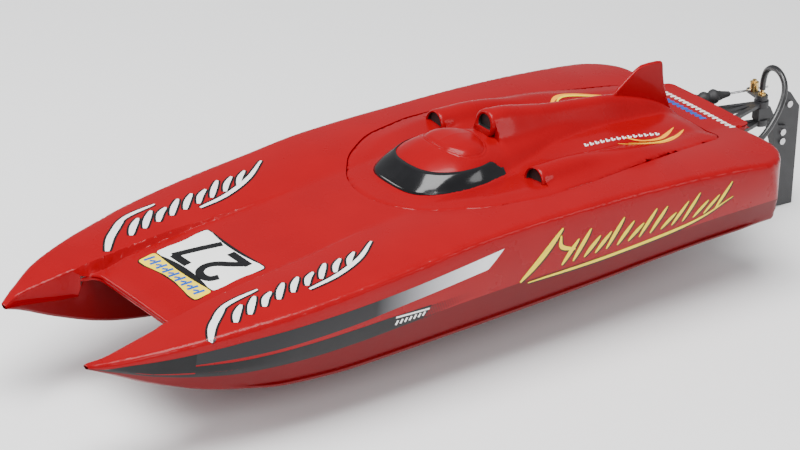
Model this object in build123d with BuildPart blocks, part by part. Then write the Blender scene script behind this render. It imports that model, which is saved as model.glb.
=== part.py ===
from build123d import *
import os
from math import atan2, cos, hypot, pi, radians, sin, tan

# Radio-controlled tunnel-hull racing boat, in millimetres.
# X is across the boat (port is +X), Y runs aft, Z is up. The origin is at the middle of the
# bounding box in plan, level with the rudder's lowest point.

# ---------------------------------------------------------------- driving dimensions
hull_length = 600.0          # bow tips to transom
beam = 232.8                 # widest part of the hull
rudder_drop = 43.5           # rudder tip below the hull's base plane
rudder_reach = 108.0         # transom to the rudder's trailing edge
overall_length = hull_length + rudder_reach
wall = 2.2                   # moulded skin of hull, deck and hatch
edge_bevel = 4.0             # rounded-off deck edge
keel_flat = 8.0              # width of the flat under each sponson
stern_corner = 34.0          # plan radius of the stern corners
tunnel_front, tunnel_front_height = 78.0, 40.0
tunnel_rear_height = 18.0
foredeck_cavity_start = 95.0
parting_height = 28.0        # joint between the lower hull and the deck moulding
parting_step_start = 84.0

hatch_front, hatch_rear = 271.0, 572.0
hatch_gap = 0.4              # all-round gap between hatch and deck
hatch_corner, hatch_corner_x = 12.0, 60.5
hatch_curve = 60.0           # radius that rounds the rest of the hatch's outline
ledge_width = 8.0
ledge_front_height, ledge_rear_height = 70.0, 65.6
seal_thickness = 1.0
canopy_base = 66.0
screen_thickness = 1.2
screen_low, screen_high = 81.5, 95.0
screen_end = 382.0
scoop_face = 386.0
scoop_radius = 9.5
scoop_wall = 1.6
scoop_depth = 14.0
liner_wall = 0.8
fin_thickness = 4.0

shaft_start_aft, shaft_start_height = 420.0, 52.0
prop_aft, prop_height = 640.0, 20.0
shaft_radius = 2.0
running = 0.05               # radial clearance of a turning shaft
prop_radius = 15.0
motor_radius, motor_length = 18.0, 50.0
jacket_wall = 1.2

rudder_axis_aft = 667.0
stock_radius = 2.0
arm_radius = 12.0            # steering arm and servo horn, centre to pushrod pin
rod_radius, rod_pin_radius = 0.9, 0.8
rod_height = 61.5
pin_play = 0.3               # half-width play of the slots that the pushrod pins slide in
slot_travel = 1.8            # how far a pin moves out along its slot at full lock
blade_thickness = 3.0
blade_front, blade_top, blade_bottom = 683.0, 57.8, -rudder_drop

hose_radius = 2.5
small_hose_radius = 2.0
nipple_radius = 1.5
screw_radius = 1.5
head_radius = 2.8
joint_gap = 0.3              # between faces that pass each other

battery_size = (44.0, 92.0, 22.0)
switch_travel = 3.0


# Distances aft are those on a hull 600 long and distances outboard those on one 232.8 wide. The
# hull stretches with its length and beam, and what stands behind the transom keeps its size.
transom = 600.0
nominal_beam = 232.8


def aft(distance):
    """Y of a place behind the bow tips."""
    stretched = distance * hull_length / transom if distance < transom else distance - transom + hull_length
    return stretched - overall_length / 2


def out(x):
    """X of a place on the hull."""
    return x * beam / nominal_beam


def up(height):
    """Z of a place that high above the hull's base plane."""
    return height + rudder_drop


def at(x, distance, height):
    return (x, aft(distance), up(height))


# ---------------------------------------------------------------- hull lines
# Table of offsets of the port half: distance aft, then x and height of the sheer, the crest of the
# sponson's inner edge, the side knuckle and the chine, then the heights of keel and centre deck.
keel_x, inner_x = out(62.0), out(51.0)
tunnel_wall_x = out(54.0)    # the hull and deck joint steps up inside this
nominal_offsets = [
    (0, (58.0, 39.0), (52.5, 39.0), (57.5, 37.5), (57.0, 36.5), 35.5, 39.0),
    (14, (68.5, 42.5), (56.4, 42.6), (67.0, 36.0), (64.0, 32.0), 30.0, 42.0),
    (40, (83.5, 49.0), (55.0, 47.5), (81.0, 31.0), (74.0, 22.0), 18.0, 46.0),
    (78, (96.0, 54.5), (52.7, 54.5), (93.5, 27.5), (86.5, 11.0), 3.5, 46.5),
    (100, (101.0, 57.0), (51.3, 58.0), (98.5, 26.0), (90.5, 6.5), -2.0, 52.5),
    (140, (108.5, 61.5), (49.0, 63.0), (103.5, 25.0), (95.0, 0.5), -7.5, 58.8),
    (190, (112.3, 67.0), (46.5, 66.5), (106.0, 25.0), (97.5, -1.5), -9.5, 64.5),
    (240, (113.3, 72.0), (44.0, 71.6), (107.0, 26.5), (98.0, -0.5), -9.5, 71.0),
    (300, (113.6, 78.0), (44.0, 77.5), (107.0, 29.0), (98.0, 1.0), -8.0, 77.0),
    (360, (113.6, 79.4), (44.0, 78.5), (107.0, 30.5), (97.5, 2.5), -6.0, 78.0),
    (420, (114.3, 79.3), (44.0, 77.5), (107.0, 31.0), (97.0, 4.5), -4.0, 77.0),
    (480, (115.3, 77.5), (44.0, 75.0), (107.0, 31.5), (96.0, 7.0), -1.5, 74.5),
    (540, (115.8, 73.3), (44.0, 71.5), (106.5, 32.0), (95.0, 8.3), 0.0, 71.0),
    (570, (116.4, 69.8), (44.0, 69.5), (106.5, 32.0), (95.0, 8.6), 0.5, 69.0),
    (transom, (116.4, 66.5), (44.0, 67.8), (106.5, 32.0), (95.0, 8.8), 1.0, 67.3),
]
offsets = [
    (distance, *[(out(x), z) for x, z in corners], keel, deck)
    for distance, *corners, keel, deck in nominal_offsets
]
nose_end = tunnel_front
half_beam = beam / 2


def mix(a, b, share):
    if isinstance(a, tuple):
        return tuple(mix(p, q, share) for p, q in zip(a, b))
    return a + (b - a) * share


def station(distance):
    """The offsets at any distance aft, straight between two rows of the table."""
    for low, high in zip(offsets, offsets[1:]):
        if low[0] <= distance <= high[0]:
            return mix(low, high, (distance - low[0]) / (high[0] - low[0]))
    raise ValueError("outside the hull")


def tunnel_height(distance):
    """Underside of the tunnel roof."""
    share = (distance - tunnel_front) / (transom - tunnel_front)
    return mix(tunnel_front_height, tunnel_rear_height, share)


def floor_height(distance):
    """Top of the tunnel roof, which is the floor that the machinery stands on."""
    return tunnel_height(distance) + wall


def sponson_outline(distance):
    """Sponson section from the crest round by the sheer and keel to the inner wall."""
    _, sheer, crest, knuckle, chine, keel, _ = station(distance)
    bevel = min(edge_bevel, 0.25 * (sheer[0] - crest[0]))
    flat = min(keel_flat, 0.3 * (chine[0] - inner_x)) / 2
    centre = min(keel_x, (chine[0] + inner_x) / 2)
    return [
        crest,
        (sheer[0] - bevel, sheer[1]),
        (sheer[0], sheer[1] - bevel),
        knuckle,
        chine,
        (centre + flat, keel),
        (centre - flat, keel),
        (inner_x, mix(keel, crest[1], 0.12)),
    ]


def body_outline(distance):
    """Whole section: port sponson, tunnel and starboard sponson in one ring."""
    _, _, crest, _, _, _, deck = station(distance)
    port = [(crest[0] - 1.5, deck)] + sponson_outline(distance)
    port.append((inner_x - 0.5, tunnel_height(distance)))
    starboard = [(-x, z) for x, z in reversed(port)]
    return port + starboard


def inset(points, amount):
    """Moves each side of an outline inwards; the outline runs clockwise seen from astern."""
    sides = []
    for (x1, z1), (x2, z2) in zip(points, points[1:] + points[:1]):
        length = hypot(x2 - x1, z2 - z1)
        nx, nz = (z2 - z1) / length, -(x2 - x1) / length
        sides.append((x1 + nx * amount, z1 + nz * amount, x2 - x1, z2 - z1))
    ring = []
    for (ax, az, au, av), (bx, bz, bu, bv) in zip(sides[-1:] + sides[:-1], sides):
        share = ((bx - ax) * bv - (bz - az) * bu) / (au * bv - av * bu)
        ring.append((ax + au * share, az + av * share))
    return ring


def section_plane(distance):
    return Plane(origin=(0, aft(distance), 0), x_dir=(1, 0, 0), z_dir=(0, -1, 0))


def side_plane(x=0.0):
    """Plane seen from port: local x runs aft, local y up."""
    return Plane(origin=(x, 0, 0), x_dir=(0, 1, 0), z_dir=(1, 0, 0))


def raised(points):
    return [(x, up(z)) for x, z in points]


main_stations = [row[0] for row in offsets if row[0] >= nose_end]
nose_stations = [row[0] for row in offsets if row[0] <= nose_end]
cavity_stations = [foredeck_cavity_start] + [d for d in main_stations if d > foredeck_cavity_start]
cavity_stations[-1] = transom - wall
nose_cavity_stations = nose_stations[1:] + [foredeck_cavity_start]


def hull_form(amount, main, nose):
    """The hull's solid form, or the space inside it when its sides are moved in by the wall."""
    with BuildPart() as middle:
        for distance in main:
            with BuildSketch(section_plane(distance)):
                with BuildLine():
                    Polyline(*raised(inset(body_outline(distance), amount)), close=True)
                make_face()
        loft(ruled=True)
    with BuildPart() as sponsons:
        for distance in nose:
            with BuildSketch(section_plane(distance)):
                with BuildLine():
                    Polyline(*raised(inset(sponson_outline(distance), amount)), close=True)
                make_face()
        loft(ruled=True)
        mirror(about=Plane.YZ)
    with BuildPart() as plan:
        with BuildSketch(Plane.XY) as outline:
            with Locations((0, (aft(0) + aft(transom)) / 2 - amount)):
                Rectangle(2 * (half_beam - amount), hull_length)
            fillet(outline.vertices().group_by(Axis.Y)[-1], stern_corner - amount)
        extrude(amount=up(160))
    return (middle.part + sponsons.part) & plan.part


outer_form = hull_form(0.0, main_stations, nose_stations)
cavity_form = hull_form(wall, cavity_stations, nose_cavity_stations)

# ---------------------------------------------------------------- helpers for the pieces
os.makedirs("parts", exist_ok=True)


def tilted(distance, height, rear_distance, rear_height):
    """Plane through a line across the boat, sloping to a second height further aft."""
    slope = atan2(rear_height - height, aft(rear_distance) - aft(distance))
    return Plane(origin=at(0, distance, height), x_dir=(1, 0, 0), z_dir=(0, -sin(slope), cos(slope)))


ledge_plane = tilted(hatch_front, ledge_front_height, hatch_rear, ledge_rear_height)
floor_plane = tilted(tunnel_front, floor_height(tunnel_front), transom, floor_height(transom))

shaft_drop = atan2(shaft_start_height - prop_height, aft(prop_aft) - aft(shaft_start_aft))
shaft_direction = Vector(0, cos(shaft_drop), -sin(shaft_drop))
motor_centre = Vector(*at(0, shaft_start_aft, shaft_start_height))


def along_shaft(travel):
    """Plane across the propeller shaft line, a distance aft of the motor's middle."""
    centre = motor_centre + shaft_direction * travel
    return Plane(origin=centre, x_dir=(1, 0, 0), z_dir=shaft_direction)


def shaft_travel(distance):
    """How far along the shaft line a place is, from its distance behind the bow."""
    return (aft(distance) - aft(shaft_start_aft)) / cos(shaft_drop)


def facing_aft(x, distance, height):
    """Plane across the boat that faces aft."""
    return Plane(origin=at(x, distance, height), x_dir=(1, 0, 0), z_dir=(0, 1, 0))


hatch_points = [
    (0, hatch_front),
    (30, hatch_front + 8),
    (58, hatch_front + 30),
    (77, hatch_front + 60),
    (85.5, hatch_front + 105),
    (84, hatch_front + 155),
    (hatch_corner_x, hatch_rear),
]


def round_limit(ring):
    """Largest radius that rounds every corner of a ring but its last two and still fits its edges."""
    count = len(ring)
    sides = [Vector(*ring[(i + 1) % count]) - Vector(*ring[i]) for i in range(count)]
    tangents = [tan(radians(sides[i - 1].get_angle(sides[i])) / 2) for i in range(count)]
    corner = count // 2
    return min(sides[i].length / (tangents[i] + tangents[(i + 1) % count]) for i in range(corner - 1))


def hatch_prism(amount):
    """Everything inside the hatch seam, moved in by an amount, as a tall prism."""
    port = [(out(x), aft(d)) for x, d in hatch_points]
    ring = port + [(-x, y) for x, y in reversed(port[1:])]
    curve = min(hatch_curve, 0.95 * round_limit(ring))
    with BuildPart() as prism:
        with BuildSketch(Plane.XY) as plan:
            with BuildLine():
                Polyline(*inset(ring, -amount), close=True)
            make_face()
            fillet(plan.vertices().group_by(Axis.Y)[-1], hatch_corner - amount)
            fillet(plan.vertices().sort_by(Axis.Y)[:-4], curve - amount)
        extrude(amount=up(160))
    return prism.part


def slab(plane, low, high):
    """A wide slab between two heights above a plane."""
    with BuildPart() as wide:
        with BuildSketch(plane.offset(low)):
            with Locations((0, 250)):
                Rectangle(400, 900)
        extrude(amount=high - low)
    return wide.part


# ---------------------------------------------------------------- hull and deck mouldings
seam = hatch_prism(0.0)
hatch_opening = hatch_prism(ledge_width)

with BuildPart() as lower_region:
    with BuildSketch(Plane.XY):
        with Locations((0, (aft(0) + aft(transom)) / 2)):
            Rectangle(2 * half_beam + 20, hull_length + 20)
    extrude(amount=up(parting_height))
    step_length = aft(transom) + 10 - aft(parting_step_start)
    with BuildSketch(Plane.XY):
        with Locations((0, aft(parting_step_start) + step_length / 2)):
            Rectangle(2 * tunnel_wall_x, step_length)
    extrude(amount=up(floor_height(tunnel_front)))

# Magnet pairs hold the hatch down, one set in its rim and one in the deck's ledge.
magnet_radius, magnet_thickness = 2.5, 2.0
magnet_places = [(side * out(x), d) for side in (1, -1) for x, d in ((76.2, 345.0), (64.8, 500.0))]


def magnet_discs(low, high, radius):
    with BuildPart() as discs:
        with BuildSketch(ledge_plane.offset(low)):
            for x, distance in magnet_places:
                local = ledge_plane.to_local_coords(Vector(x, aft(distance), up(ledge_front_height)))
                with Locations((local.X, local.Y)):
                    Circle(radius)
        extrude(amount=high - low)
    return discs.part


# The shaft, the pushrod and the cooling water pass through the transom.
stuffing_tube_radius = 3.2
inlet_place = (44.0, transom, 45.0)
outlet_place = (-66.0, transom, 45.0)
drain_place = (out(80.0), transom, 22.0)
nipple_shank = 2.5
drain_radius = 4.0
rod_yaw = radians(10.25)     # the pushrod runs aft and towards port
rod_direction = Vector(sin(rod_yaw), cos(rod_yaw), 0)
pin_out = (-arm_radius * rod_direction.Y, rudder_axis_aft + arm_radius * rod_direction.X, rod_height)


def on_rod(travel):
    """Point on the pushrod line, a distance aft of its pin at the steering arm."""
    return Vector(*at(*pin_out)) + rod_direction * travel


rod_at_transom = (aft(transom) - on_rod(0).Y) / rod_direction.Y
boot_radius_at_transom = 2.4

with BuildPart() as transom_holes:
    with BuildSketch(along_shaft(shaft_travel(transom) - 15)):
        Circle(stuffing_tube_radius)
    extrude(amount=30)
    with BuildSketch(Plane(origin=on_rod(rod_at_transom - 8), z_dir=rod_direction)):
        Circle(boot_radius_at_transom)
    extrude(amount=14)
    for x, distance, height in (inlet_place, outlet_place):
        with BuildSketch(facing_aft(x, distance - 6, height)):
            Circle(nipple_shank)
        extrude(amount=12)
    with BuildSketch(facing_aft(*drain_place).offset(-6)):
        Circle(drain_radius)
    extrude(amount=12)

lip_reach, lip_thickness = 12.0, 1.8  # the rear deck overhangs the transom
lip_half_width, lip_corner, lip_root = 48.0, 8.0, 4.0
rear_deck_height = station(transom)[6]
with BuildPart() as deck_lip:
    with BuildSketch(Plane.XY.offset(up(rear_deck_height) - lip_thickness)) as lip_plan:
        with Locations((0, aft(transom) + (lip_reach - lip_root) / 2)):
            Rectangle(2 * lip_half_width, lip_reach + lip_root)
        fillet(lip_plan.vertices().group_by(Axis.Y)[-1], lip_corner)
    extrude(amount=lip_thickness)
lip_inside = deck_lip.part & outer_form

hull_skin = outer_form - cavity_form
with BuildPart() as hull_shell:
    add(hull_skin & lower_region.part)
    add(transom_holes.part, mode=Mode.SUBTRACT)

with BuildPart() as deck_shell:
    add(hull_skin - lower_region.part)
    add(seam, mode=Mode.SUBTRACT)
    add((hatch_prism(-wall) - seam) & slab(ledge_plane, -wall, 60) & outer_form)
    add((hatch_prism(-wall) - hatch_opening) & slab(ledge_plane, -wall, 0))
    add(deck_lip.part - lip_inside)
    add(magnet_discs(-magnet_thickness, 0, magnet_radius), mode=Mode.SUBTRACT)
    add(transom_holes.part, mode=Mode.SUBTRACT)

# ---------------------------------------------------------------- hatch
with BuildPart() as hatch_seal:
    add((hatch_prism(hatch_gap + 0.6) - hatch_prism(ledge_width - 1)) & slab(ledge_plane, 0, seal_thickness))

# Canopy rows: distance aft, half-width at the base, height of the top.
canopy_rows = [
    (285.0, 16.0, 75.0),
    (292.0, 36.0, 84.0),
    (306.0, 48.0, 93.5),
    (322.0, 54.0, 101.5),
    (338.0, 57.0, 107.0),
    (354.0, 57.0, 107.5),
    (370.0, 55.0, 103.5),
    (388.0, 52.0, 98.0),
    (440.0, 40.0, 96.0),
    (490.0, 30.0, 92.0),
    (530.0, 22.0, 84.0),
    (560.0, 14.0, 74.0),
]


def canopy_form(amount):
    """The canopy's solid form down to its base, moved in by an amount."""
    rows = [(d, w - amount, h - amount) for d, w, h in canopy_rows]
    rows[0] = (rows[0][0] + amount, rows[0][1], rows[0][2])
    rows[-1] = (rows[-1][0] - amount, rows[-1][1], rows[-1][2])
    with BuildPart() as dome:
        for distance, half_width, top in rows:
            with BuildSketch(section_plane(distance)):
                with BuildLine():
                    arch = ThreePointArc(
                        (-half_width, up(canopy_base)), (0, up(top)), (half_width, up(canopy_base))
                    )
                    Line(arch @ 1, arch @ 0)
                make_face()
        loft()
    return dome.part


# Each scoop: three rounds from its mouth back to where it fades out, as x, distance aft, height
# and radius of the middle.
middle_scoop = [(0.0, scoop_face, 105.5, scoop_radius), (0.0, 445.0, 98.5, 8.0), (0.0, 512.0, 94.0, 5.0)]
port_scoop = [
    (out(60.5), scoop_face, 82.0, scoop_radius),
    (out(59.0), 428.0, 81.0, scoop_radius),
    (out(56.0), 492.0, 66.0, 6.0),
]
scoops = [middle_scoop, port_scoop, [(-x, *rest) for x, *rest in port_scoop]]


def scoop_form(rounds):
    """A tapering round housing behind a scoop's mouth."""
    with BuildPart() as housing:
        for x, distance, height, radius in rounds:
            with BuildSketch(facing_aft(x, distance, height)):
                Circle(radius)
        loft()
    return housing.part


fin_outline = [(505, 94), (509.5, 99), (536, 117), (557, 116.5), (564.5, 84), (560, 68), (530, 80)]
with BuildPart() as fin_form:
    with BuildSketch(side_plane(-fin_thickness / 2)):
        with BuildLine():
            Polyline(*[(aft(d), up(z)) for d, z in fin_outline], close=True)
        make_face()
    extrude(amount=fin_thickness)

with BuildPart() as screen_band:
    with BuildSketch(side_plane(-90)) as band_side:
        with BuildLine():
            Polyline(
                (aft(hatch_front), up(screen_low)),
                (aft(screen_end - 30), up(screen_low + 1.5)),
                (aft(screen_end), up(screen_low + 5)),
                (aft(screen_end), up(screen_high + 1)),
                (aft(hatch_front), up(screen_high)),
                close=True,
            )
        make_face()
        fillet(band_side.vertices().group_by(Axis.Y)[-1], 5)
    extrude(amount=180)

roof_centre, roof_half_length, roof_half_width = 354.0, 19.5, 22.5
panel_rise = 0.8
groove = 1.0


def roof_prism(amount):
    with BuildPart() as prism:
        with BuildSketch(Plane.XY):
            with Locations((0, aft(roof_centre))):
                Ellipse(roof_half_width + amount, roof_half_length + amount)
        extrude(amount=up(160))
    return prism.part


canopy_outer = canopy_form(0.0)
canopy_middle = canopy_form(screen_thickness)
canopy_inner = canopy_form(wall + screen_thickness)
band_skin = (canopy_outer - canopy_middle) & screen_band.part
above_ledge = slab(ledge_plane, seal_thickness, 200)
mouth_relief, liner_setback = 3.0, 1.0

with BuildPart() as hatch_cover:
    add(outer_form & hatch_prism(hatch_gap) & above_ledge)
    add(canopy_outer & above_ledge)
    for rounds in scoops:
        add(scoop_form(rounds) & above_ledge)
    add(fin_form.part)
    add(cavity_form & hatch_prism(hatch_gap + 3), mode=Mode.SUBTRACT)
    add(canopy_inner, mode=Mode.SUBTRACT)
    add(magnet_discs(seal_thickness, seal_thickness + 5, magnet_radius + 1.5) & hatch_prism(hatch_gap))
    add(magnet_discs(seal_thickness, seal_thickness + magnet_thickness, magnet_radius), mode=Mode.SUBTRACT)
    for (x, distance, height, radius), *_ in scoops:
        with BuildSketch(facing_aft(x, distance, height).offset(-mouth_relief)):
            Circle(radius - scoop_wall)
        extrude(amount=mouth_relief + scoop_depth, mode=Mode.SUBTRACT)
    add(band_skin, mode=Mode.SUBTRACT)
    add((canopy_outer - canopy_middle) & (roof_prism(groove) - roof_prism(0)), mode=Mode.SUBTRACT)

with BuildPart() as windscreen:
    add(band_skin)

with BuildPart() as roof_panel:
    add((canopy_form(-panel_rise) - canopy_outer) & roof_prism(0))

with BuildPart() as scoop_liners:
    for (x, distance, height, radius), *_ in scoops:
        mouth = facing_aft(x, distance, height).offset(liner_setback)
        with BuildSketch(mouth):
            Circle(radius - scoop_wall)
        extrude(amount=scoop_depth - liner_setback)
        with BuildSketch(mouth):
            Circle(radius - scoop_wall - liner_wall)
        extrude(amount=scoop_depth - liner_setback - liner_wall, mode=Mode.SUBTRACT)

with BuildPart() as hatch_magnets:
    add(magnet_discs(seal_thickness, seal_thickness + magnet_thickness, magnet_radius))
with BuildPart() as deck_magnets:
    add(magnet_discs(-magnet_thickness, 0, magnet_radius))

# ---------------------------------------------------------------- floats
# Foam blocks in the sponsons keep a swamped boat afloat.
foam_gap = 1.5
foam_front, foam_rear = 60.0, 285.0
foam_rows = [foam_front, 100, 140, 190, 240, foam_rear]
with BuildPart() as float_foam:
    for distance in foam_rows:
        _, sheer, crest, knuckle, chine, keel, _ = station(distance)
        low = keel + wall + foam_gap + 6
        outline = [
            (inner_x + wall + foam_gap + 2.5, low),
            (chine[0] - 10, low + 6),
            (knuckle[0] - 8, knuckle[1]),
            (knuckle[0] - 8, sheer[1] - wall - 8),
            (inner_x + wall + foam_gap + 2.5, sheer[1] - wall - 8),
        ]
        with BuildSketch(section_plane(distance)):
            with BuildLine():
                Polyline(*raised(outline), close=True)
            make_face()
    loft(ruled=True)
    mirror(about=Plane.YZ)

# ---------------------------------------------------------------- battery
tray_wall = 1.6
battery_front = 283.0
battery_middle = battery_front + battery_size[1] / 2


def on_floor(x, distance):
    """Plane on the floor of the hull at a place, tilted like the floor."""
    return Plane(
        origin=at(x, distance, floor_height(distance)), x_dir=(1, 0, 0), z_dir=floor_plane.z_dir
    )


battery_floor = on_floor(0, battery_middle)
with BuildPart() as battery_tray:
    with BuildSketch(battery_floor):
        RectangleRounded(battery_size[0] + 2 * tray_wall, battery_size[1] + 2 * tray_wall, 3)
    extrude(amount=tray_wall + 10)
    with BuildSketch(battery_floor.offset(tray_wall)):
        Rectangle(battery_size[0], battery_size[1])
    extrude(amount=10, mode=Mode.SUBTRACT)
    with BuildSketch(battery_floor.offset(tray_wall)):
        Rectangle(battery_size[0] + 4 * tray_wall, 40)
    extrude(amount=10, mode=Mode.SUBTRACT)

with BuildPart() as battery_pack:
    with BuildSketch(battery_floor.offset(tray_wall)):
        Rectangle(battery_size[0], battery_size[1])
    extrude(amount=battery_size[2])
    fillet(battery_pack.edges().group_by(Axis.Z)[-1], 2.5)

strap_width, strap_thickness = 20.0, 1.2
with BuildPart() as battery_strap:
    with BuildSketch(battery_floor.offset(tray_wall)):
        Rectangle(battery_size[0] + 2 * strap_thickness, strap_width)
    extrude(amount=battery_size[2] + strap_thickness)
    with BuildSketch(battery_floor.offset(tray_wall)):
        Rectangle(battery_size[0], strap_width)
    extrude(amount=battery_size[2], mode=Mode.SUBTRACT)

# ---------------------------------------------------------------- motor and shaft line
can_front, can_rear = -motor_length / 2, motor_length / 2
motor_shaft_radius = 1.6
mount_thickness = 3.0
coupling_radius, coupling_start, coupling_length = 5.0, can_rear + mount_thickness + 3, 20.0
motor_shaft_end = coupling_start + coupling_length / 2

with BuildPart() as motor_can:
    with BuildSketch(along_shaft(can_front)):
        Circle(motor_radius)
    extrude(amount=motor_length)
    fillet(motor_can.edges().filter_by(GeomType.CIRCLE), 1.5)
    with BuildSketch(along_shaft(can_rear - 12)):
        Circle(motor_shaft_radius + running)
    extrude(amount=14, mode=Mode.SUBTRACT)

with BuildPart() as motor_endbell:
    with BuildSketch(along_shaft(can_front - 9)):
        Circle(motor_radius - 1.5)
    extrude(amount=9)
    with BuildSketch(along_shaft(can_front - 13)):
        Circle(6)
    extrude(amount=4)
    with BuildSketch(along_shaft(can_front - 13)):
        with Locations((11, 0), (-11, 0)):
            Rectangle(1.0, 5)
    extrude(amount=4)

jacket_half = 17.0
jacket_nipples = [-jacket_half + 5, jacket_half - 5]
with BuildPart() as water_jacket:
    with BuildSketch(along_shaft(-jacket_half)):
        Circle(motor_radius + jacket_wall)
        Circle(motor_radius, mode=Mode.SUBTRACT)
    extrude(amount=2 * jacket_half)
    for travel in jacket_nipples:
        base = along_shaft(travel)
        side = Plane(origin=base.origin + base.x_dir * (motor_radius + 0.6), z_dir=base.x_dir)
        with BuildSketch(side):
            Circle(nipple_radius)
        extrude(amount=7)

mount_plane = along_shaft(can_rear)
with BuildPart() as motor_mount:
    with BuildSketch(mount_plane):
        Rectangle(2 * motor_radius + 2, 2 * motor_radius + 12)
    extrude(amount=mount_thickness)
    with BuildSketch(on_floor(0, shaft_start_aft + 36)):
        Rectangle(2 * motor_radius + 2, 30)
    extrude(amount=mount_thickness)
    add(slab(floor_plane, -60, 0), mode=Mode.SUBTRACT)
    with BuildSketch(mount_plane):
        Circle(motor_shaft_radius + 1.5)
        with PolarLocations(12.5, 2, start_angle=0):
            Circle(screw_radius)
    extrude(amount=mount_thickness, mode=Mode.SUBTRACT)

with BuildPart() as motor_screws:
    with BuildSketch(mount_plane.offset(mount_thickness)):
        with PolarLocations(12.5, 2, start_angle=0):
            Circle(head_radius)
    extrude(amount=2)
    with BuildSketch(mount_plane):
        with PolarLocations(12.5, 2, start_angle=0):
            Circle(screw_radius)
    extrude(amount=mount_thickness)

with BuildPart() as motor_shaft:
    with BuildSketch(along_shaft(can_rear - 11)):
        Circle(motor_shaft_radius)
    extrude(amount=motor_shaft_end - can_rear + 11)

with BuildPart() as shaft_coupling:
    with BuildSketch(along_shaft(coupling_start)):
        Circle(coupling_radius)
    extrude(amount=coupling_length)
    chamfer(shaft_coupling.edges().filter_by(GeomType.CIRCLE), 0.5)
    with BuildSketch(along_shaft(coupling_start)):
        Circle(motor_shaft_radius)
    extrude(amount=coupling_length / 2, mode=Mode.SUBTRACT)
    with BuildSketch(along_shaft(motor_shaft_end)):
        Circle(shaft_radius)
    extrude(amount=coupling_length / 2, mode=Mode.SUBTRACT)

prop_travel = shaft_travel(prop_aft)
prop_hub_length, prop_hub_radius = 14.0, 4.6
hub_start = prop_travel - prop_hub_length / 2
nut_length = 5.0
shaft_end = hub_start + prop_hub_length + nut_length + 1.5
with BuildPart() as drive_shaft:
    with BuildSketch(along_shaft(motor_shaft_end)):
        Circle(shaft_radius)
    extrude(amount=shaft_end - motor_shaft_end)
    chamfer(drive_shaft.edges().filter_by(GeomType.CIRCLE), 0.4)

tube_start = coupling_start + coupling_length + 6
tube_end = shaft_travel(transom) + 8
with BuildPart() as stuffing_tube:
    with BuildSketch(along_shaft(tube_start)):
        Circle(stuffing_tube_radius)
        Circle(shaft_radius + running, mode=Mode.SUBTRACT)
    extrude(amount=tube_end - tube_start)

# The strut carries the shaft behind the transom.
strut_hub_radius, strut_hub_length = 5.0, 17.0
strut_start = tube_end + 1.0
strut_plate_thickness = 2.5
strut_plate_half_width = 13.0
strut_plate_low, strut_plate_high = 19.0, 33.5
with BuildPart() as prop_strut:
    with BuildSketch(facing_aft(0, transom, (strut_plate_low + strut_plate_high) / 2)):
        Rectangle(2 * strut_plate_half_width, strut_plate_high - strut_plate_low)
    extrude(amount=strut_plate_thickness)
    with BuildSketch(side_plane(-1.75)):
        with BuildLine():
            Polyline(
                (aft(transom + 1), up(strut_plate_high - 0.5)),
                (aft(transom + 12), up(strut_plate_high - 1.5)),
                (aft(transom + 26), up(prop_height + 5)),
                (aft(transom + 26), up(prop_height + 1)),
                (aft(transom + 10), up(prop_height + 3)),
                (aft(transom + 1), up(prop_height + 3)),
                close=True,
            )
        make_face()
    extrude(amount=3.5)
    with BuildSketch(along_shaft(strut_start)):
        Circle(strut_hub_radius)
    extrude(amount=strut_hub_length)
    with BuildSketch(along_shaft(strut_start - 12)):
        Circle(stuffing_tube_radius)
    extrude(amount=tube_end + 12.5 - strut_start, mode=Mode.SUBTRACT)
    with BuildSketch(along_shaft(strut_start - 12)):
        Circle(shaft_radius + running)
    extrude(amount=strut_hub_length + 20, mode=Mode.SUBTRACT)
    with BuildSketch(facing_aft(0, transom, strut_plate_high - 4)):
        with Locations((9.5, 0), (-9.5, 0)):
            Circle(screw_radius)
    extrude(amount=strut_plate_thickness, mode=Mode.SUBTRACT)

with BuildPart() as strut_screws:
    with BuildSketch(facing_aft(0, transom, strut_plate_high - 4)):
        with Locations((9.5, 0), (-9.5, 0)):
            Circle(screw_radius)
    extrude(amount=strut_plate_thickness)
    with BuildSketch(facing_aft(0, transom + strut_plate_thickness, strut_plate_high - 4)):
        with Locations((9.5, 0), (-9.5, 0)):
            Circle(head_radius)
    extrude(amount=1.8)

with BuildPart() as drive_dog:
    with BuildSketch(along_shaft(hub_start - 4.2)):
        Circle(4)
        Circle(shaft_radius, mode=Mode.SUBTRACT)
    extrude(amount=4.2)

blade_pitch = 38.0
blade_rows = [(3.5, 5.0, 1.6), (9.0, 9.5, 1.1), (prop_radius - 0.4, 5.5, 0.7)]
with BuildPart() as propeller:
    with BuildSketch(along_shaft(hub_start)):
        Circle(prop_hub_radius)
    extrude(amount=prop_hub_length)
    for turn in (90, 270):
        hub_plane = along_shaft(prop_travel)
        reach = hub_plane.x_dir * cos(radians(turn)) + hub_plane.y_dir * sin(radians(turn))
        for row, (radius, chord, thick) in enumerate(blade_rows):
            twist = radians(blade_pitch + 8 * (1 - row))
            chord_way = shaft_direction.cross(reach) * cos(twist) + shaft_direction * sin(twist)
            with BuildSketch(Plane(origin=hub_plane.origin + reach * radius, x_dir=chord_way, z_dir=reach)):
                Rectangle(chord, thick)
        loft(ruled=True)
    with BuildSketch(along_shaft(hub_start)):
        Circle(shaft_radius)
    extrude(amount=prop_hub_length, mode=Mode.SUBTRACT)

with BuildPart() as prop_nut:
    with BuildSketch(along_shaft(hub_start + prop_hub_length)):
        RegularPolygon(3.9, 6)
        Circle(shaft_radius, mode=Mode.SUBTRACT)
    extrude(amount=nut_length)

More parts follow.
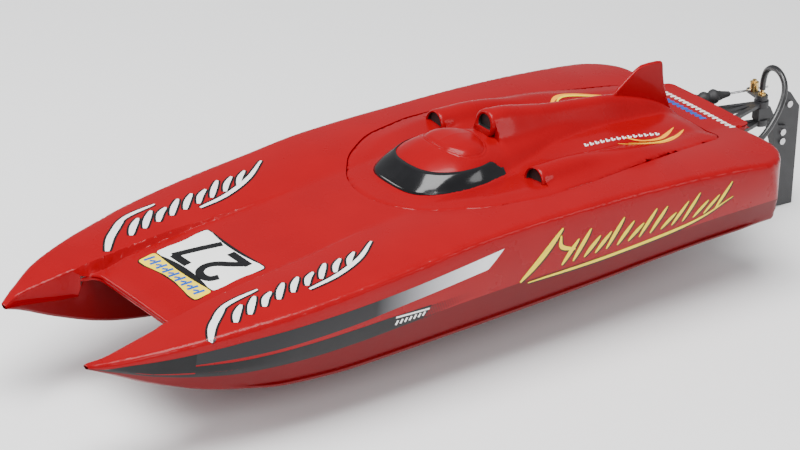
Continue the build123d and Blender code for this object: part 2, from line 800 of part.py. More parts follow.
# ---------------------------------------------------------------- radio gear
esc_size = (28.0, 44.0, 13.0)
esc_floor = on_floor(-34, 470)
with BuildPart() as esc_case:
    with BuildSketch(esc_floor):
        RectangleRounded(esc_size[0], esc_size[1], 2)
    extrude(amount=esc_size[2])
with BuildPart() as esc_heatsink:
    with BuildSketch(esc_floor.offset(esc_size[2])):
        Rectangle(esc_size[0] - 4, esc_size[1] - 8)
    extrude(amount=1.5)
    with BuildSketch(esc_floor.offset(esc_size[2] + 1.5)):
        with GridLocations(0, 5.0, 1, 7):
            Rectangle(esc_size[0] - 4, 1.4)
    extrude(amount=5)

receiver_floor = on_floor(34, 462)
with BuildPart() as receiver_case:
    with BuildSketch(receiver_floor):
        RectangleRounded(24, 38, 2)
    extrude(amount=12)
    fillet(receiver_case.edges().group_by(Axis.Z)[-1], 1)
with BuildPart() as antenna_tube:
    antenna_floor = on_floor(34, 492)
    with BuildSketch(antenna_floor):
        Circle(4)
    extrude(amount=3)
    with BuildSketch(antenna_floor):
        Circle(1.5)
    extrude(amount=34)

switch_floor = on_floor(36, 520)
with BuildPart() as power_switch_body:
    with BuildSketch(switch_floor):
        Rectangle(13, 22)
    extrude(amount=8)
    with BuildSketch(switch_floor.offset(5)):
        Rectangle(5.0, 7.0 + switch_travel)
    extrude(amount=3, mode=Mode.SUBTRACT)
with BuildPart() as power_switch_slider:
    with BuildSketch(switch_floor.offset(5 + joint_gap)):
        with Locations((0, -switch_travel / 2)):
            Rectangle(5.0 - 2 * joint_gap, 7.0 - 2 * joint_gap)
    extrude(amount=5)

# ---------------------------------------------------------------- steering
servo_pin = on_rod(-136.0)
arm_way = Vector(rod_direction.Y, -rod_direction.X, 0)
servo_axis = servo_pin + arm_way * arm_radius
servo_top = up(rod_height) - 6.0
servo_size = (20.0, 40.0, 30.0)
servo_centre = (servo_axis.X, servo_axis.Y - 9.0)
arm_thickness = 2.5
arm_top = up(rod_height) - rod_radius - joint_gap
arm_low = arm_top - arm_thickness
with BuildPart() as servo_case:
    with BuildSketch(Plane.XY.offset(servo_top - servo_size[2])):
        with Locations(servo_centre):
            Rectangle(servo_size[0], servo_size[1])
    extrude(amount=servo_size[2] - 4)
    with BuildSketch(Plane.XY.offset(servo_top - 12)):
        with Locations(servo_centre):
            Rectangle(servo_size[0], servo_size[1] + 14)
    extrude(amount=2.5)
    with BuildSketch(Plane.XY.offset(servo_top - 4)):
        with Locations((servo_axis.X, servo_axis.Y)):
            Circle(6)
    extrude(amount=2)
    with BuildSketch(Plane.XY.offset(servo_top - 4)):
        with Locations((servo_axis.X, servo_axis.Y)):
            Circle(2.4)
    extrude(amount=arm_low - joint_gap - servo_top + 4)

post_size = (servo_size[0], 6.0)
with BuildPart() as servo_mount:
    with BuildSketch(Plane.XY.offset(up(0))):
        for way in (-1, 1):
            with Locations((servo_centre[0], servo_centre[1] + way * (servo_size[1] / 2 + 3.5))):
                Rectangle(*post_size)
    extrude(amount=servo_top - 12 - up(0))
    add(slab(floor_plane, -80, 0), mode=Mode.SUBTRACT)


def slotted_arm(axis, low):
    """Arm from an axis to the pushrod line, with the slot that the rod's pin slides in."""
    plane = Plane(origin=(axis.X, axis.Y, low), x_dir=arm_way * -1, z_dir=(0, 0, 1))
    with BuildPart() as arm:
        with BuildSketch(plane):
            with Locations(((arm_radius + slot_travel) / 2 + 1, 0)):
                SlotOverall(arm_radius + slot_travel + 10, 8)
        extrude(amount=arm_thickness)
        with BuildSketch(plane):
            with Locations((arm_radius + slot_travel / 2, 0)):
                SlotOverall(2 * (rod_pin_radius + pin_play) + slot_travel + 0.6, 2 * (rod_pin_radius + pin_play))
        extrude(amount=arm_thickness, mode=Mode.SUBTRACT)
    return arm.part


with BuildPart() as servo_horn:
    add(slotted_arm(servo_axis, arm_low))
    with BuildSketch(Plane(origin=(servo_axis.X, servo_axis.Y, arm_low))):
        Circle(4)
    extrude(amount=arm_thickness + 1.5)
with BuildPart() as horn_screw:
    with BuildSketch(Plane(origin=(servo_axis.X, servo_axis.Y, arm_top + 1.5))):
        Circle(2.2)
    extrude(amount=1.4)

rod_tail = 13.0
with BuildPart() as pushrod:
    with BuildSketch(Plane(origin=on_rod(-136.0 - rod_radius), z_dir=rod_direction)):
        Circle(rod_radius)
    extrude(amount=136.0 + rod_radius + rod_tail)
    for pin in (servo_pin, on_rod(0)):
        with BuildSketch(Plane(origin=(pin.X, pin.Y, arm_low - 1.5))):
            Circle(rod_pin_radius)
        extrude(amount=up(rod_height) - arm_low + 1.5)
with BuildPart() as rod_connector:
    with BuildSketch(Plane(origin=(on_rod(0).X, on_rod(0).Y, arm_top + joint_gap - 0.05))):
        Circle(3.6)
    extrude(amount=7.5)
    with BuildSketch(Plane(origin=(on_rod(0).X, on_rod(0).Y, arm_top + joint_gap + 7.4))):
        Circle(1.8)
    extrude(amount=2)
    add(pushrod.part, mode=Mode.SUBTRACT)

# Rubber bellows where the pushrod leaves the transom.
rib_count, rib_pitch = 4, 9.0
with BuildPart() as pushrod_boot:
    with BuildSketch(Plane(origin=on_rod(rod_at_transom - 3.0), z_dir=rod_direction)):
        Circle(boot_radius_at_transom)
    extrude(amount=6)
    for rib in range(rib_count):
        start = rod_at_transom + 1.0 + rib * rib_pitch
        low, high = 3.0 + 0.35 * rib, 3.7 + 0.6 * rib  # the bellows widen aft
        with BuildSketch(Plane(origin=on_rod(start), z_dir=rod_direction)):
            Circle(low)
        with BuildSketch(Plane(origin=on_rod(start + rib_pitch * 0.55), z_dir=rod_direction)):
            Circle(high)
        loft()
        with BuildSketch(Plane(origin=on_rod(start + rib_pitch * 0.55), z_dir=rod_direction)):
            Circle(high)
        with BuildSketch(Plane(origin=on_rod(start + rib_pitch), z_dir=rod_direction)):
            Circle(low)
        loft()
    nozzle_start = rod_at_transom + 1.0 + rib_count * rib_pitch
    with BuildSketch(Plane(origin=on_rod(nozzle_start - 1), z_dir=rod_direction)):
        Circle(3.4)
    with BuildSketch(Plane(origin=on_rod(nozzle_start + 10), z_dir=rod_direction)):
        Circle(2.0)
    loft()
    with BuildSketch(Plane(origin=on_rod(rod_at_transom - 6), z_dir=rod_direction)):
        Circle(rod_radius + joint_gap)
    extrude(amount=70, mode=Mode.SUBTRACT)

# Rudder bracket: a transom plate, five arms and two knuckles round the stock.
plate_low, plate_high, plate_half_width = 34.0, 56.8, 21.5
plate_thickness = 2.5
knuckle_radius = 6.0
upper_knuckle, lower_knuckle = (51.5, 57.0), (36.0, 41.0)
arm_width, arm_depth = 4.0, 3.0
plate_holes = [(x, 46.5) for x in (-17.0, -7.0, 7.0, 17.0)]
with BuildPart() as rudder_bracket:
    with BuildSketch(facing_aft(0, transom, (plate_low + plate_high) / 2)):
        Rectangle(2 * plate_half_width, plate_high - plate_low)
    extrude(amount=plate_thickness)
    for (low, high), feet in ((upper_knuckle, (-19.0, 0.0, 19.0)), (lower_knuckle, (-19.0, 19.0))):
        with BuildSketch(Plane.XY.offset(up(low))):
            with Locations((0, aft(rudder_axis_aft))):
                Circle(knuckle_radius)
        extrude(amount=high - low)
        middle = (low + high) / 2
        for foot in feet:
            start = Vector(foot, aft(transom + plate_thickness / 2), 0)
            run = Vector(0, aft(rudder_axis_aft), 0) - start
            centre = start + run * 0.5
            with BuildSketch(Plane(origin=(centre.X, centre.Y, up(middle - arm_depth / 2)), x_dir=run)):
                Rectangle(run.length, arm_width)
            extrude(amount=arm_depth)
    with BuildSketch(Plane.XY.offset(up(lower_knuckle[0] - 5))):
        with Locations((0, aft(rudder_axis_aft))):
            Circle(stock_radius + running)
    extrude(amount=upper_knuckle[1] - lower_knuckle[0] + 10, mode=Mode.SUBTRACT)
    with BuildSketch(Plane.XZ.offset(-aft(transom))):
        with Locations(*[(x, up(height)) for x, height in plate_holes]):
            Circle(screw_radius)
    extrude(amount=-plate_thickness, mode=Mode.SUBTRACT)

with BuildPart() as bracket_screws:
    with BuildSketch(Plane.XZ.offset(-aft(transom))):
        with Locations(*[(x, up(height)) for x, height in plate_holes]):
            Circle(screw_radius)
    extrude(amount=-plate_thickness)
    with BuildSketch(Plane.XZ.offset(-aft(transom + plate_thickness))):
        with Locations(*[(x, up(height)) for x, height in plate_holes]):
            Circle(head_radius)
    extrude(amount=-1.8)

nipple_height, nipple_bottom = 4.5, 61.5
stock_top = nipple_bottom
with BuildPart() as rudder_stock:
    with BuildSketch(Plane(origin=at(0, rudder_axis_aft, lower_knuckle[0] - 2))):
        Circle(stock_radius)
    extrude(amount=stock_top - lower_knuckle[0] + 2)

steering_axis = Vector(0, aft(rudder_axis_aft), 0)
with BuildPart() as steering_arm:
    add(slotted_arm(steering_axis, arm_low))
    with BuildSketch(Plane(origin=(0, aft(rudder_axis_aft), arm_low))):
        Circle(5)
    extrude(amount=up(stock_top) - arm_low)
    add(rudder_stock.part, mode=Mode.SUBTRACT)

with BuildPart() as pickup_nipple:
    with BuildSketch(Plane(origin=at(0, rudder_axis_aft, nipple_bottom))):
        Circle(3.2)
    extrude(amount=1.5)
    with BuildSketch(Plane(origin=at(0, rudder_axis_aft, nipple_bottom))):
        Circle(nipple_radius)
    extrude(amount=nipple_height)

holder_outline = [(661.5, 51.2), (673.5, 51.2), (684.0, 32.0), (693.0, 30.0), (693.0, 13.0), (683.0, 13.0)]
holder_outline += [(673.6, 41.3), (661.5, 41.3)]
blade_screw_places = [(688.5, 25.5), (688.5, 17.5)]
holder_half = blade_thickness / 2 + 2.5
with BuildPart() as rudder_holder:
    with BuildSketch(side_plane(-holder_half)):
        with BuildLine():
            Polyline(*[(aft(d), up(z)) for d, z in holder_outline], close=True)
        make_face()
    extrude(amount=2 * holder_half)
    with BuildSketch(side_plane(-blade_thickness / 2)):
        with Locations((aft(blade_front + 20), up(25))):
            Rectangle(40, 60)
    extrude(amount=blade_thickness, mode=Mode.SUBTRACT)
    add(rudder_stock.part, mode=Mode.SUBTRACT)
    with BuildSketch(side_plane(-holder_half)):
        with Locations(*[(aft(d), up(z)) for d, z in blade_screw_places]):
            Circle(screw_radius)
    extrude(amount=2 * holder_half, mode=Mode.SUBTRACT)

top_screw_place = (696.0, 47.5)
blade_outline = [
    (blade_front, 30.0),
    (693.0, blade_top),
    (697.0, blade_top - 0.5),
    (overall_length, 43.0),
    (overall_length, blade_bottom),
    (blade_front, blade_bottom + 2.0),
]
with BuildPart() as rudder_blade:
    with BuildSketch(side_plane(-blade_thickness / 2)):
        with BuildLine():
            Polyline(*[(aft(d), up(z)) for d, z in blade_outline], close=True)
        make_face()
    extrude(amount=blade_thickness)
    with BuildSketch(side_plane(-blade_thickness / 2)):
        with Locations(*[(aft(d), up(z)) for d, z in blade_screw_places + [top_screw_place]]):
            Circle(screw_radius)
    extrude(amount=blade_thickness, mode=Mode.SUBTRACT)

with BuildPart() as blade_screws:
    for place, half in [(p, holder_half) for p in blade_screw_places] + [(top_screw_place, blade_thickness / 2)]:
        with BuildSketch(side_plane(-half - 1.6)):
            with Locations((aft(place[0]), up(place[1]))):
                Circle(screw_radius)
        extrude(amount=2 * half + 3.2)
        for start in (-half - 1.8, half):
            with BuildSketch(side_plane(start)):
                with Locations((aft(place[0]), up(place[1]))):
                    Circle(head_radius)
            extrude(amount=1.8)

# ---------------------------------------------------------------- cooling water
def fitting(x, distance, height, outside, inside):
    """Hose fitting through the transom, with a flange outside."""
    with BuildPart() as piece:
        with BuildSketch(facing_aft(x, distance - wall, height)):
            Circle(nipple_shank)
        extrude(amount=wall)
        with BuildSketch(facing_aft(x, distance, height)):
            Circle(nipple_shank + 1.8)
        extrude(amount=1.6)
        with BuildSketch(facing_aft(x, distance - wall - inside, height)):
            Circle(nipple_radius)
        extrude(amount=wall + inside + outside)
    return piece.part


fitting_reach = 6.0
with BuildPart() as water_inlet:
    add(fitting(*inlet_place, fitting_reach, fitting_reach))
with BuildPart() as water_outlet:
    add(fitting(*outlet_place, fitting_reach, fitting_reach))
with BuildPart() as drain_plug:
    with BuildSketch(facing_aft(*drain_place).offset(-wall - 1)):
        Circle(drain_radius)
    extrude(amount=wall + 1)
    with BuildSketch(facing_aft(*drain_place)):
        Circle(drain_radius + 1.5)
    extrude(amount=2)


def route_radii(points):
    """Largest arc at each corner of a hose's route, from its two runs."""
    found = []
    for before, corner, after in zip(points, points[1:], points[2:]):
        one, two = Vector(*corner) - Vector(*before), Vector(*after) - Vector(*corner)
        turn = radians(one.get_angle(two))
        found.append(0.45 * min(one.length, two.length) / tan(turn / 2))
    return found


def hose(points, radius, label):
    radii = route_radii(points)
    print(label, "arc radii", [round(r, 1) for r in radii])
    start = Vector(*points[0])
    with BuildPart() as tube:
        with BuildLine() as path:
            FilletPolyline(*points, radius=radii)
        with BuildSketch(Plane(origin=start, z_dir=Vector(*points[1]) - start)):
            Circle(radius)
        sweep()
    length = sum(edge.length for edge in path.edges())
    print(label, "length", round(length, 1), "volume share", round(tube.part.volume / (length * pi * radius**2), 4))
    return tube.part


nipple_top = nipple_bottom + nipple_height
cooling_route = [
    at(0, rudder_axis_aft, nipple_top + joint_gap),
    at(0, 667, 80),
    at(9.8, 666, 90),
    at(23.6, 663.5, 90),
    at(33.4, 661, 80),
    at(38, 650, 64),
    at(42, 634, 51),
    at(44, 619, 45),
    at(44, transom + fitting_reach, 45),
]
with BuildPart() as cooling_hose:
    add(hose(cooling_route, hose_radius, "cooling hose"))


def jacket_tip(travel):
    base = along_shaft(travel)
    return base.origin + base.x_dir * (motor_radius + 0.6 + 7.0)


def beside(point, x):
    return (point.X + x, point.Y, point.Z)


inlet_tip = jacket_tip(jacket_nipples[1])
inner_route = [
    tuple(inlet_tip),
    beside(inlet_tip, 14),
    at(52, 446, 49),
    at(56, 474, 48),
    at(57, 508, 47.5),
    at(55, 542, 46),
    at(44, 570, 45),
    at(44, transom - wall - fitting_reach, 45),
]
with BuildPart() as inlet_hose:
    add(hose(inner_route, small_hose_radius, "inlet hose"))

pieces = {
    "hull_shell": hull_shell,
    "deck_shell": deck_shell,
    "hatch_seal": hatch_seal,
    "hatch_cover": hatch_cover,
    "windscreen": windscreen,
    "roof_panel": roof_panel,
    "scoop_liners": scoop_liners,
    "hatch_magnets": hatch_magnets,
    "deck_magnets": deck_magnets,
    "float_foam": float_foam,
    "battery_tray": battery_tray,
    "battery_pack": battery_pack,
    "battery_strap": battery_strap,
    "motor_can": motor_can,
    "motor_endbell": motor_endbell,
    "water_jacket": water_jacket,
    "motor_mount": motor_mount,
    "motor_screws": motor_screws,
    "motor_shaft": motor_shaft,
    "shaft_coupling": shaft_coupling,
    "drive_shaft": drive_shaft,
    "stuffing_tube": stuffing_tube,
    "prop_strut": prop_strut,
    "strut_screws": strut_screws,
    "drive_dog": drive_dog,
    "propeller": propeller,
    "prop_nut": prop_nut,
    "esc_case": esc_case,
    "esc_heatsink": esc_heatsink,
    "receiver_case": receiver_case,
    "antenna_tube": antenna_tube,
    "power_switch_body": power_switch_body,
    "power_switch_slider": power_switch_slider,
    "servo_case": servo_case,
    "servo_mount": servo_mount,
    "servo_horn": servo_horn,
    "horn_screw": horn_screw,
    "pushrod": pushrod,
    "rod_connector": rod_connector,
    "pushrod_boot": pushrod_boot,
    "rudder_bracket": rudder_bracket,
    "bracket_screws": bracket_screws,
    "rudder_stock": rudder_stock,
    "steering_arm": steering_arm,
    "pickup_nipple": pickup_nipple,
    "rudder_holder": rudder_holder,
    "rudder_blade": rudder_blade,
    "blade_screws": blade_screws,
    "water_inlet": water_inlet,
    "water_outlet": water_outlet,
    "drain_plug": drain_plug,
    "cooling_hose": cooling_hose,
    "inlet_hose": inlet_hose,
}
for name, piece in pieces.items():
    piece.part.label = name
    export_step(piece.part, f"parts/{name}.step")
print(len(pieces), "pieces")
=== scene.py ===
import math

import bmesh
import bpy
import numpy as np
from mathutils import Matrix, Vector
from mathutils.geometry import delaunay_2d_cdt


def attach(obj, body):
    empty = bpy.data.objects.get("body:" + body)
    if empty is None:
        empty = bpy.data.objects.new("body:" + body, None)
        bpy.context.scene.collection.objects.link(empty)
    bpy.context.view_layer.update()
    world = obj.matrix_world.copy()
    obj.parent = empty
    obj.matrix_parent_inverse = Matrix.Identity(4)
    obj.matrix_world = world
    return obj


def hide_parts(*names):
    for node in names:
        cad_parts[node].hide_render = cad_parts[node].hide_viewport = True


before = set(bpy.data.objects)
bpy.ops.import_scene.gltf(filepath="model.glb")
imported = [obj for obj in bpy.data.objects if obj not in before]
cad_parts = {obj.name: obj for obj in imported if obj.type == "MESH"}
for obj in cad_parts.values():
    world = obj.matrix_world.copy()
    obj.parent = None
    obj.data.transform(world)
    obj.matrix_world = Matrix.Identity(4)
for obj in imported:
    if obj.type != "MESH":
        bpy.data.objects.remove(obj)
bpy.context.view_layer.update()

# The measures below are in millimetres: x outboard to port, d behind the bow tips, z above the
# hull's base plane. place() turns them into metres in the CAD frame.
HALF_LENGTH, RUDDER_DROP = 354.0, 43.5
TRANSOM = 600.0


def place(x, d, z):
    return (x / 1000, (d - HALF_LENGTH) / 1000, (z + RUDDER_DROP) / 1000)


def curve(points):
    """A smooth curve through points (x, y) that never overshoots; takes and gives arrays."""
    xs, ys = (np.array(column, float) for column in zip(*points))
    run = np.diff(xs)
    rise = np.diff(ys) / run
    slope = np.zeros(len(xs))
    slope[0], slope[-1] = rise[0], rise[-1]
    for i in range(1, len(xs) - 1):
        if rise[i - 1] * rise[i] > 0:
            a, b = 2 * run[i] + run[i - 1], run[i] + 2 * run[i - 1]
            slope[i] = (a + b) / (a / rise[i - 1] + b / rise[i])

    def value(x):
        x = np.clip(np.asarray(x, float), xs[0], xs[-1])
        i = np.clip(np.searchsorted(xs, x, side="right") - 1, 0, len(run) - 1)
        t = (x - xs[i]) / run[i]
        return (
            ys[i] * (1 + 2 * t) * (1 - t) ** 2
            + slope[i] * run[i] * t * (1 - t) ** 2
            + ys[i + 1] * t * t * (3 - 2 * t)
            + slope[i + 1] * run[i] * t * t * (t - 1)
        )

    return value


def smooth(a, b, x):
    t = np.clip((np.asarray(x, float) - a) / (b - a), 0, 1)
    return t * t * (3 - 2 * t)


def union(a, b, soft):
    """Higher of two surfaces, with a rounded hollow where they meet."""
    return (a + b + np.sqrt((a - b) ** 2 + soft * soft)) / 2


def around(count):
    """Equal angles round a full turn."""
    return np.linspace(0, 2 * math.pi, count + 1)[:-1]


def add_object(name, data):
    made = bpy.data.objects.new(name, data)
    bpy.context.scene.collection.objects.link(made)
    return made


# ---------------------------------------------------------------- camera
VIEW_CENTRE = Vector((0.0, -0.0415, 0.106))
BACK = Vector((0.7155, -0.5471, 0.4344)).normalized()
ROLL = math.radians(1.8)
SHIFT_LEFT, SHIFT_DOWN, VIEW_DISTANCE = 0.003958, 0.020, 2.59375
level_right = Vector((0, 0, 1)).cross(BACK).normalized()
level_up = BACK.cross(level_right)
right = level_right * math.cos(ROLL) + level_up * math.sin(ROLL)
upward = level_up * math.cos(ROLL) - level_right * math.sin(ROLL)
camera_data = bpy.data.cameras.new("camera")
camera_data.lens, camera_data.sensor_width = 157.5, 36.0
camera_data.clip_end = 20
camera = add_object("camera", camera_data)
turn = Matrix((right, upward, BACK)).transposed().to_4x4()
stand = VIEW_CENTRE - right * SHIFT_LEFT - upward * SHIFT_DOWN + BACK * VIEW_DISTANCE
camera.matrix_world = Matrix.Translation(stand) @ turn
bpy.context.scene.camera = camera


# ---------------------------------------------------------------- materials
def material(name, color, rough, metal=0.0, coat=0.0, coat_rough=0.05, tint=0.0, tint_scale=60.0,
             bump=0.0, bump_scale=400.0, rough_vary=0.05, wear=None, specular=0.5):
    """Procedural finish: colour mottling, varied roughness, fine bump and optional worn specks."""
    mat = bpy.data.materials.new(name)
    mat.use_nodes = True
    nodes, links = mat.node_tree.nodes, mat.node_tree.links
    shader = nodes["Principled BSDF"]
    shader.inputs["Metallic"].default_value = metal
    shader.inputs["Coat Weight"].default_value = coat
    shader.inputs["Coat Roughness"].default_value = coat_rough
    shader.inputs["Specular IOR Level"].default_value = specular
    where = nodes.new("ShaderNodeTexCoord").outputs["Object"]
    mottle = nodes.new("ShaderNodeTexNoise")
    mottle.inputs["Scale"].default_value = tint_scale
    mottle.inputs["Detail"].default_value = 4.0
    links.new(where, mottle.inputs["Vector"])
    ramp = nodes.new("ShaderNodeValToRGB")
    ramp.color_ramp.elements[0].position, ramp.color_ramp.elements[1].position = 0.35, 0.65
    ramp.color_ramp.elements[0].color = [c * (1 - tint) for c in color] + [1]
    ramp.color_ramp.elements[1].color = [min(1, c * (1 + tint)) for c in color] + [1]
    links.new(mottle.outputs["Fac"], ramp.inputs["Fac"])
    color_out = ramp.outputs["Color"]
    fine = nodes.new("ShaderNodeTexNoise")
    fine.inputs["Scale"].default_value = bump_scale
    fine.inputs["Detail"].default_value = 3.0
    links.new(where, fine.inputs["Vector"])
    if wear:
        speck = nodes.new("ShaderNodeValToRGB")
        speck.color_ramp.elements[0].position, speck.color_ramp.elements[1].position = 0.68, 0.74
        links.new(fine.outputs["Fac"], speck.inputs["Fac"])
        mix = nodes.new("ShaderNodeMix")
        mix.data_type = "RGBA"
        links.new(speck.outputs["Color"], mix.inputs["Factor"])
        links.new(color_out, mix.inputs["A"])
        mix.inputs["B"].default_value = (*wear, 1)
        color_out = mix.outputs["Result"]
    links.new(color_out, shader.inputs["Base Color"])
    spread = nodes.new("ShaderNodeMapRange")
    spread.inputs["To Min"].default_value = max(0.02, rough - rough_vary)
    spread.inputs["To Max"].default_value = rough + rough_vary
    links.new(mottle.outputs["Fac"], spread.inputs["Value"])
    links.new(spread.outputs["Result"], shader.inputs["Roughness"])
    if bump:
        relief = nodes.new("ShaderNodeBump")
        relief.inputs["Strength"].default_value = bump
        relief.inputs["Distance"].default_value = 0.0004
        links.new(fine.outputs["Fac"], relief.inputs["Height"])
        links.new(relief.outputs["Normal"], shader.inputs["Normal"])
    return mat


RED = material("red_paint", (0.28, 0.0001, 0.0040), 0.28, coat=0.10, coat_rough=0.05, specular=0.12,
               tint=0.03, tint_scale=25, bump=0.05, bump_scale=260)
# The lower hull's red is the deck's red paint made about half as bright: painted shade for the sides, not a
# second paint.
RED_PAINTED_SHADE_LOWER = material("red_hull_painted_shade", (0.13, 0.0001, 0.0018), 0.34, coat=0.06, coat_rough=0.08,
                     specular=0.10, tint=0.05, tint_scale=25, bump=0.07, bump_scale=260)
INSIDE = material("hull_inside", (0.35, 0.02, 0.02), 0.55, tint=0.15, bump=0.3, bump_scale=900)
SCREEN = material("windscreen_black", (0.006, 0.006, 0.007), 0.16, coat=0.25, coat_rough=0.05,
                  specular=0.3, tint=0.3, tint_scale=40, bump=0.03)
# Near-black for the insides of the scoop openings: painted shade where the holes fall dark.
SCOOP_PAINTED_SHADE = material("scoop_painted_shade", (0.006, 0.006, 0.006), 0.5, tint=0.4, bump=0.2, bump_scale=1500)
STRIPE = material("stripe_black", (0.008, 0.008, 0.009), 0.3, coat=0.1, specular=0.15, tint=0.2, bump=0.04)
WHITE = material("decal_white", (0.90, 0.90, 0.88), 0.35, coat=0.1, specular=0.2, tint=0.03, bump=0.04)
BLACK = material("decal_black", (0.008, 0.008, 0.009), 0.35, coat=0.1, specular=0.15, tint=0.2, bump=0.04)
YELLOW = material("decal_yellow", (0.95, 0.70, 0.01), 0.35, coat=0.1, specular=0.15, tint=0.05, bump=0.04)
ORANGE = material("decal_orange", (0.93, 0.36, 0.01), 0.35, coat=0.1, specular=0.15, tint=0.08, bump=0.04)
BLUE = material("decal_blue", (0.01, 0.09, 0.42), 0.35, coat=0.1, specular=0.15, tint=0.08, bump=0.04)
RUBBER = material("boot_rubber", (0.018, 0.018, 0.019), 0.62, tint=0.3, tint_scale=150, bump=0.35,
                  bump_scale=1400, rough_vary=0.1, wear=(0.06, 0.06, 0.06))
PLASTIC = material("black_plastic", (0.022, 0.022, 0.024), 0.42, tint=0.2, tint_scale=120, bump=0.25,
                   bump_scale=1300, rough_vary=0.08)
GREY = material("grey_plastic", (0.16, 0.16, 0.17), 0.45, tint=0.12, bump=0.25, bump_scale=1300)
STEEL = material("steel", (0.62, 0.62, 0.63), 0.22, metal=1.0, tint=0.06, tint_scale=200, bump=0.08,
                 bump_scale=2500, rough_vary=0.08)
BRASS = material("brass", (0.80, 0.56, 0.22), 0.24, metal=1.0, tint=0.12, tint_scale=250, bump=0.08,
                 bump_scale=2200, rough_vary=0.1, wear=(0.45, 0.28, 0.10))
ALLOY = material("alloy", (0.72, 0.73, 0.75), 0.32, metal=1.0, tint=0.05, tint_scale=300, bump=0.12,
                 bump_scale=2600, rough_vary=0.08)
FOAM = material("foam", (0.80, 0.80, 0.76), 0.9, tint=0.08, tint_scale=500, bump=0.9, bump_scale=1800)
WRAP = material("battery_wrap", (0.03, 0.10, 0.35), 0.3, coat=0.3, tint=0.15, bump=0.12, bump_scale=700)
STRAP = material("strap_weave", (0.03, 0.03, 0.032), 0.85, tint=0.35, tint_scale=900, bump=0.9,
                 bump_scale=2600)
ANODISED = material("blue_anodised", (0.03, 0.12, 0.50), 0.28, metal=1.0, tint=0.1, bump=0.1, bump_scale=2200)
SEAL = material("seal_foam", (0.03, 0.03, 0.03), 0.95, tint=0.3, tint_scale=700, bump=0.8, bump_scale=1900)


def paint(names, mat):
    for name in names:
        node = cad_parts[name]
        node.data.materials.clear()
        node.data.materials.append(mat)


def new_object(name, vertices, faces, mats, body="hull", face_mats=None):
    mesh = bpy.data.meshes.new(name)
    mesh.from_pydata([place(*v) for v in vertices], [], [tuple(int(i) for i in f) for f in faces])
    for mat in mats:
        mesh.materials.append(mat)
    if face_mats is not None:
        mesh.polygons.foreach_set("material_index", np.array(face_mats, np.int32))
    mesh.update()
    piece = add_object(name, mesh)
    work = bmesh.new()
    work.from_mesh(mesh)
    bmesh.ops.remove_doubles(work, verts=work.verts, dist=0.00002)
    bmesh.ops.recalc_face_normals(work, faces=work.faces)
    work.to_mesh(mesh)
    work.free()
    mesh.shade_smooth()
    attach(piece, body)
    return piece


def sharpen(piece, degrees):
    """Marks edges sharper than an angle, so that smooth shading stops there."""
    piece.data.set_sharp_from_angle(angle=math.radians(degrees))


def grid_faces(rows, columns, offset=0, closed=False):
    last = columns if closed else columns - 1
    return [
        (offset + r * columns + c, offset + r * columns + (c + 1) % columns,
         offset + (r + 1) * columns + (c + 1) % columns, offset + (r + 1) * columns + c)
        for r in range(rows - 1) for c in range(last)
    ]


def inside(points, ring):
    """Which of the points lie inside a closed ring, both in plan."""
    points, ring = np.asarray(points), np.asarray(ring)
    x, y = points[:, 0][:, None], points[:, 1][:, None]
    x1, y1 = ring[:, 0][None], ring[:, 1][None]
    x2, y2 = np.roll(ring[:, 0], -1)[None], np.roll(ring[:, 1], -1)[None]
    with np.errstate(divide="ignore", invalid="ignore"):
        hit = ((y1 > y) != (y2 > y)) & (x < (x2 - x1) * (y - y1) / (y2 - y1) + x1)
    return hit.sum(axis=1) % 2 == 1


def distance_to(points, line):
    """Distance in plan from each point to an open line."""
    points, line = np.asarray(points, float), np.asarray(line, float)
    a, b = line[:-1][None], line[1:][None]
    p = points[:, None]
    ab = b - a
    t = np.clip(((p - a) * ab).sum(-1) / np.maximum((ab * ab).sum(-1), 1e-9), 0, 1)
    return np.sqrt(((p - a - ab * t[..., None]) ** 2).sum(-1)).min(axis=1)


def sheet_mesh(rings, extra, keep):
    """Triangles between closed rings in plan that pass through extra points; keep says which stay."""
    points, edges = [], []
    for ring in rings:
        start, count = len(points), len(ring)
        points += [Vector(p) for p in ring]
        edges += [(start + i, start + (i + 1) % count) for i in range(count)]
    points += [Vector(p) for p in extra]
    verts, _, faces, *_ = delaunay_2d_cdt(points, edges, [], 0, 1e-5)
    verts = np.array([tuple(v) for v in verts])
    faces = np.array(faces)
    return verts, faces[keep(verts[faces].mean(axis=1))]


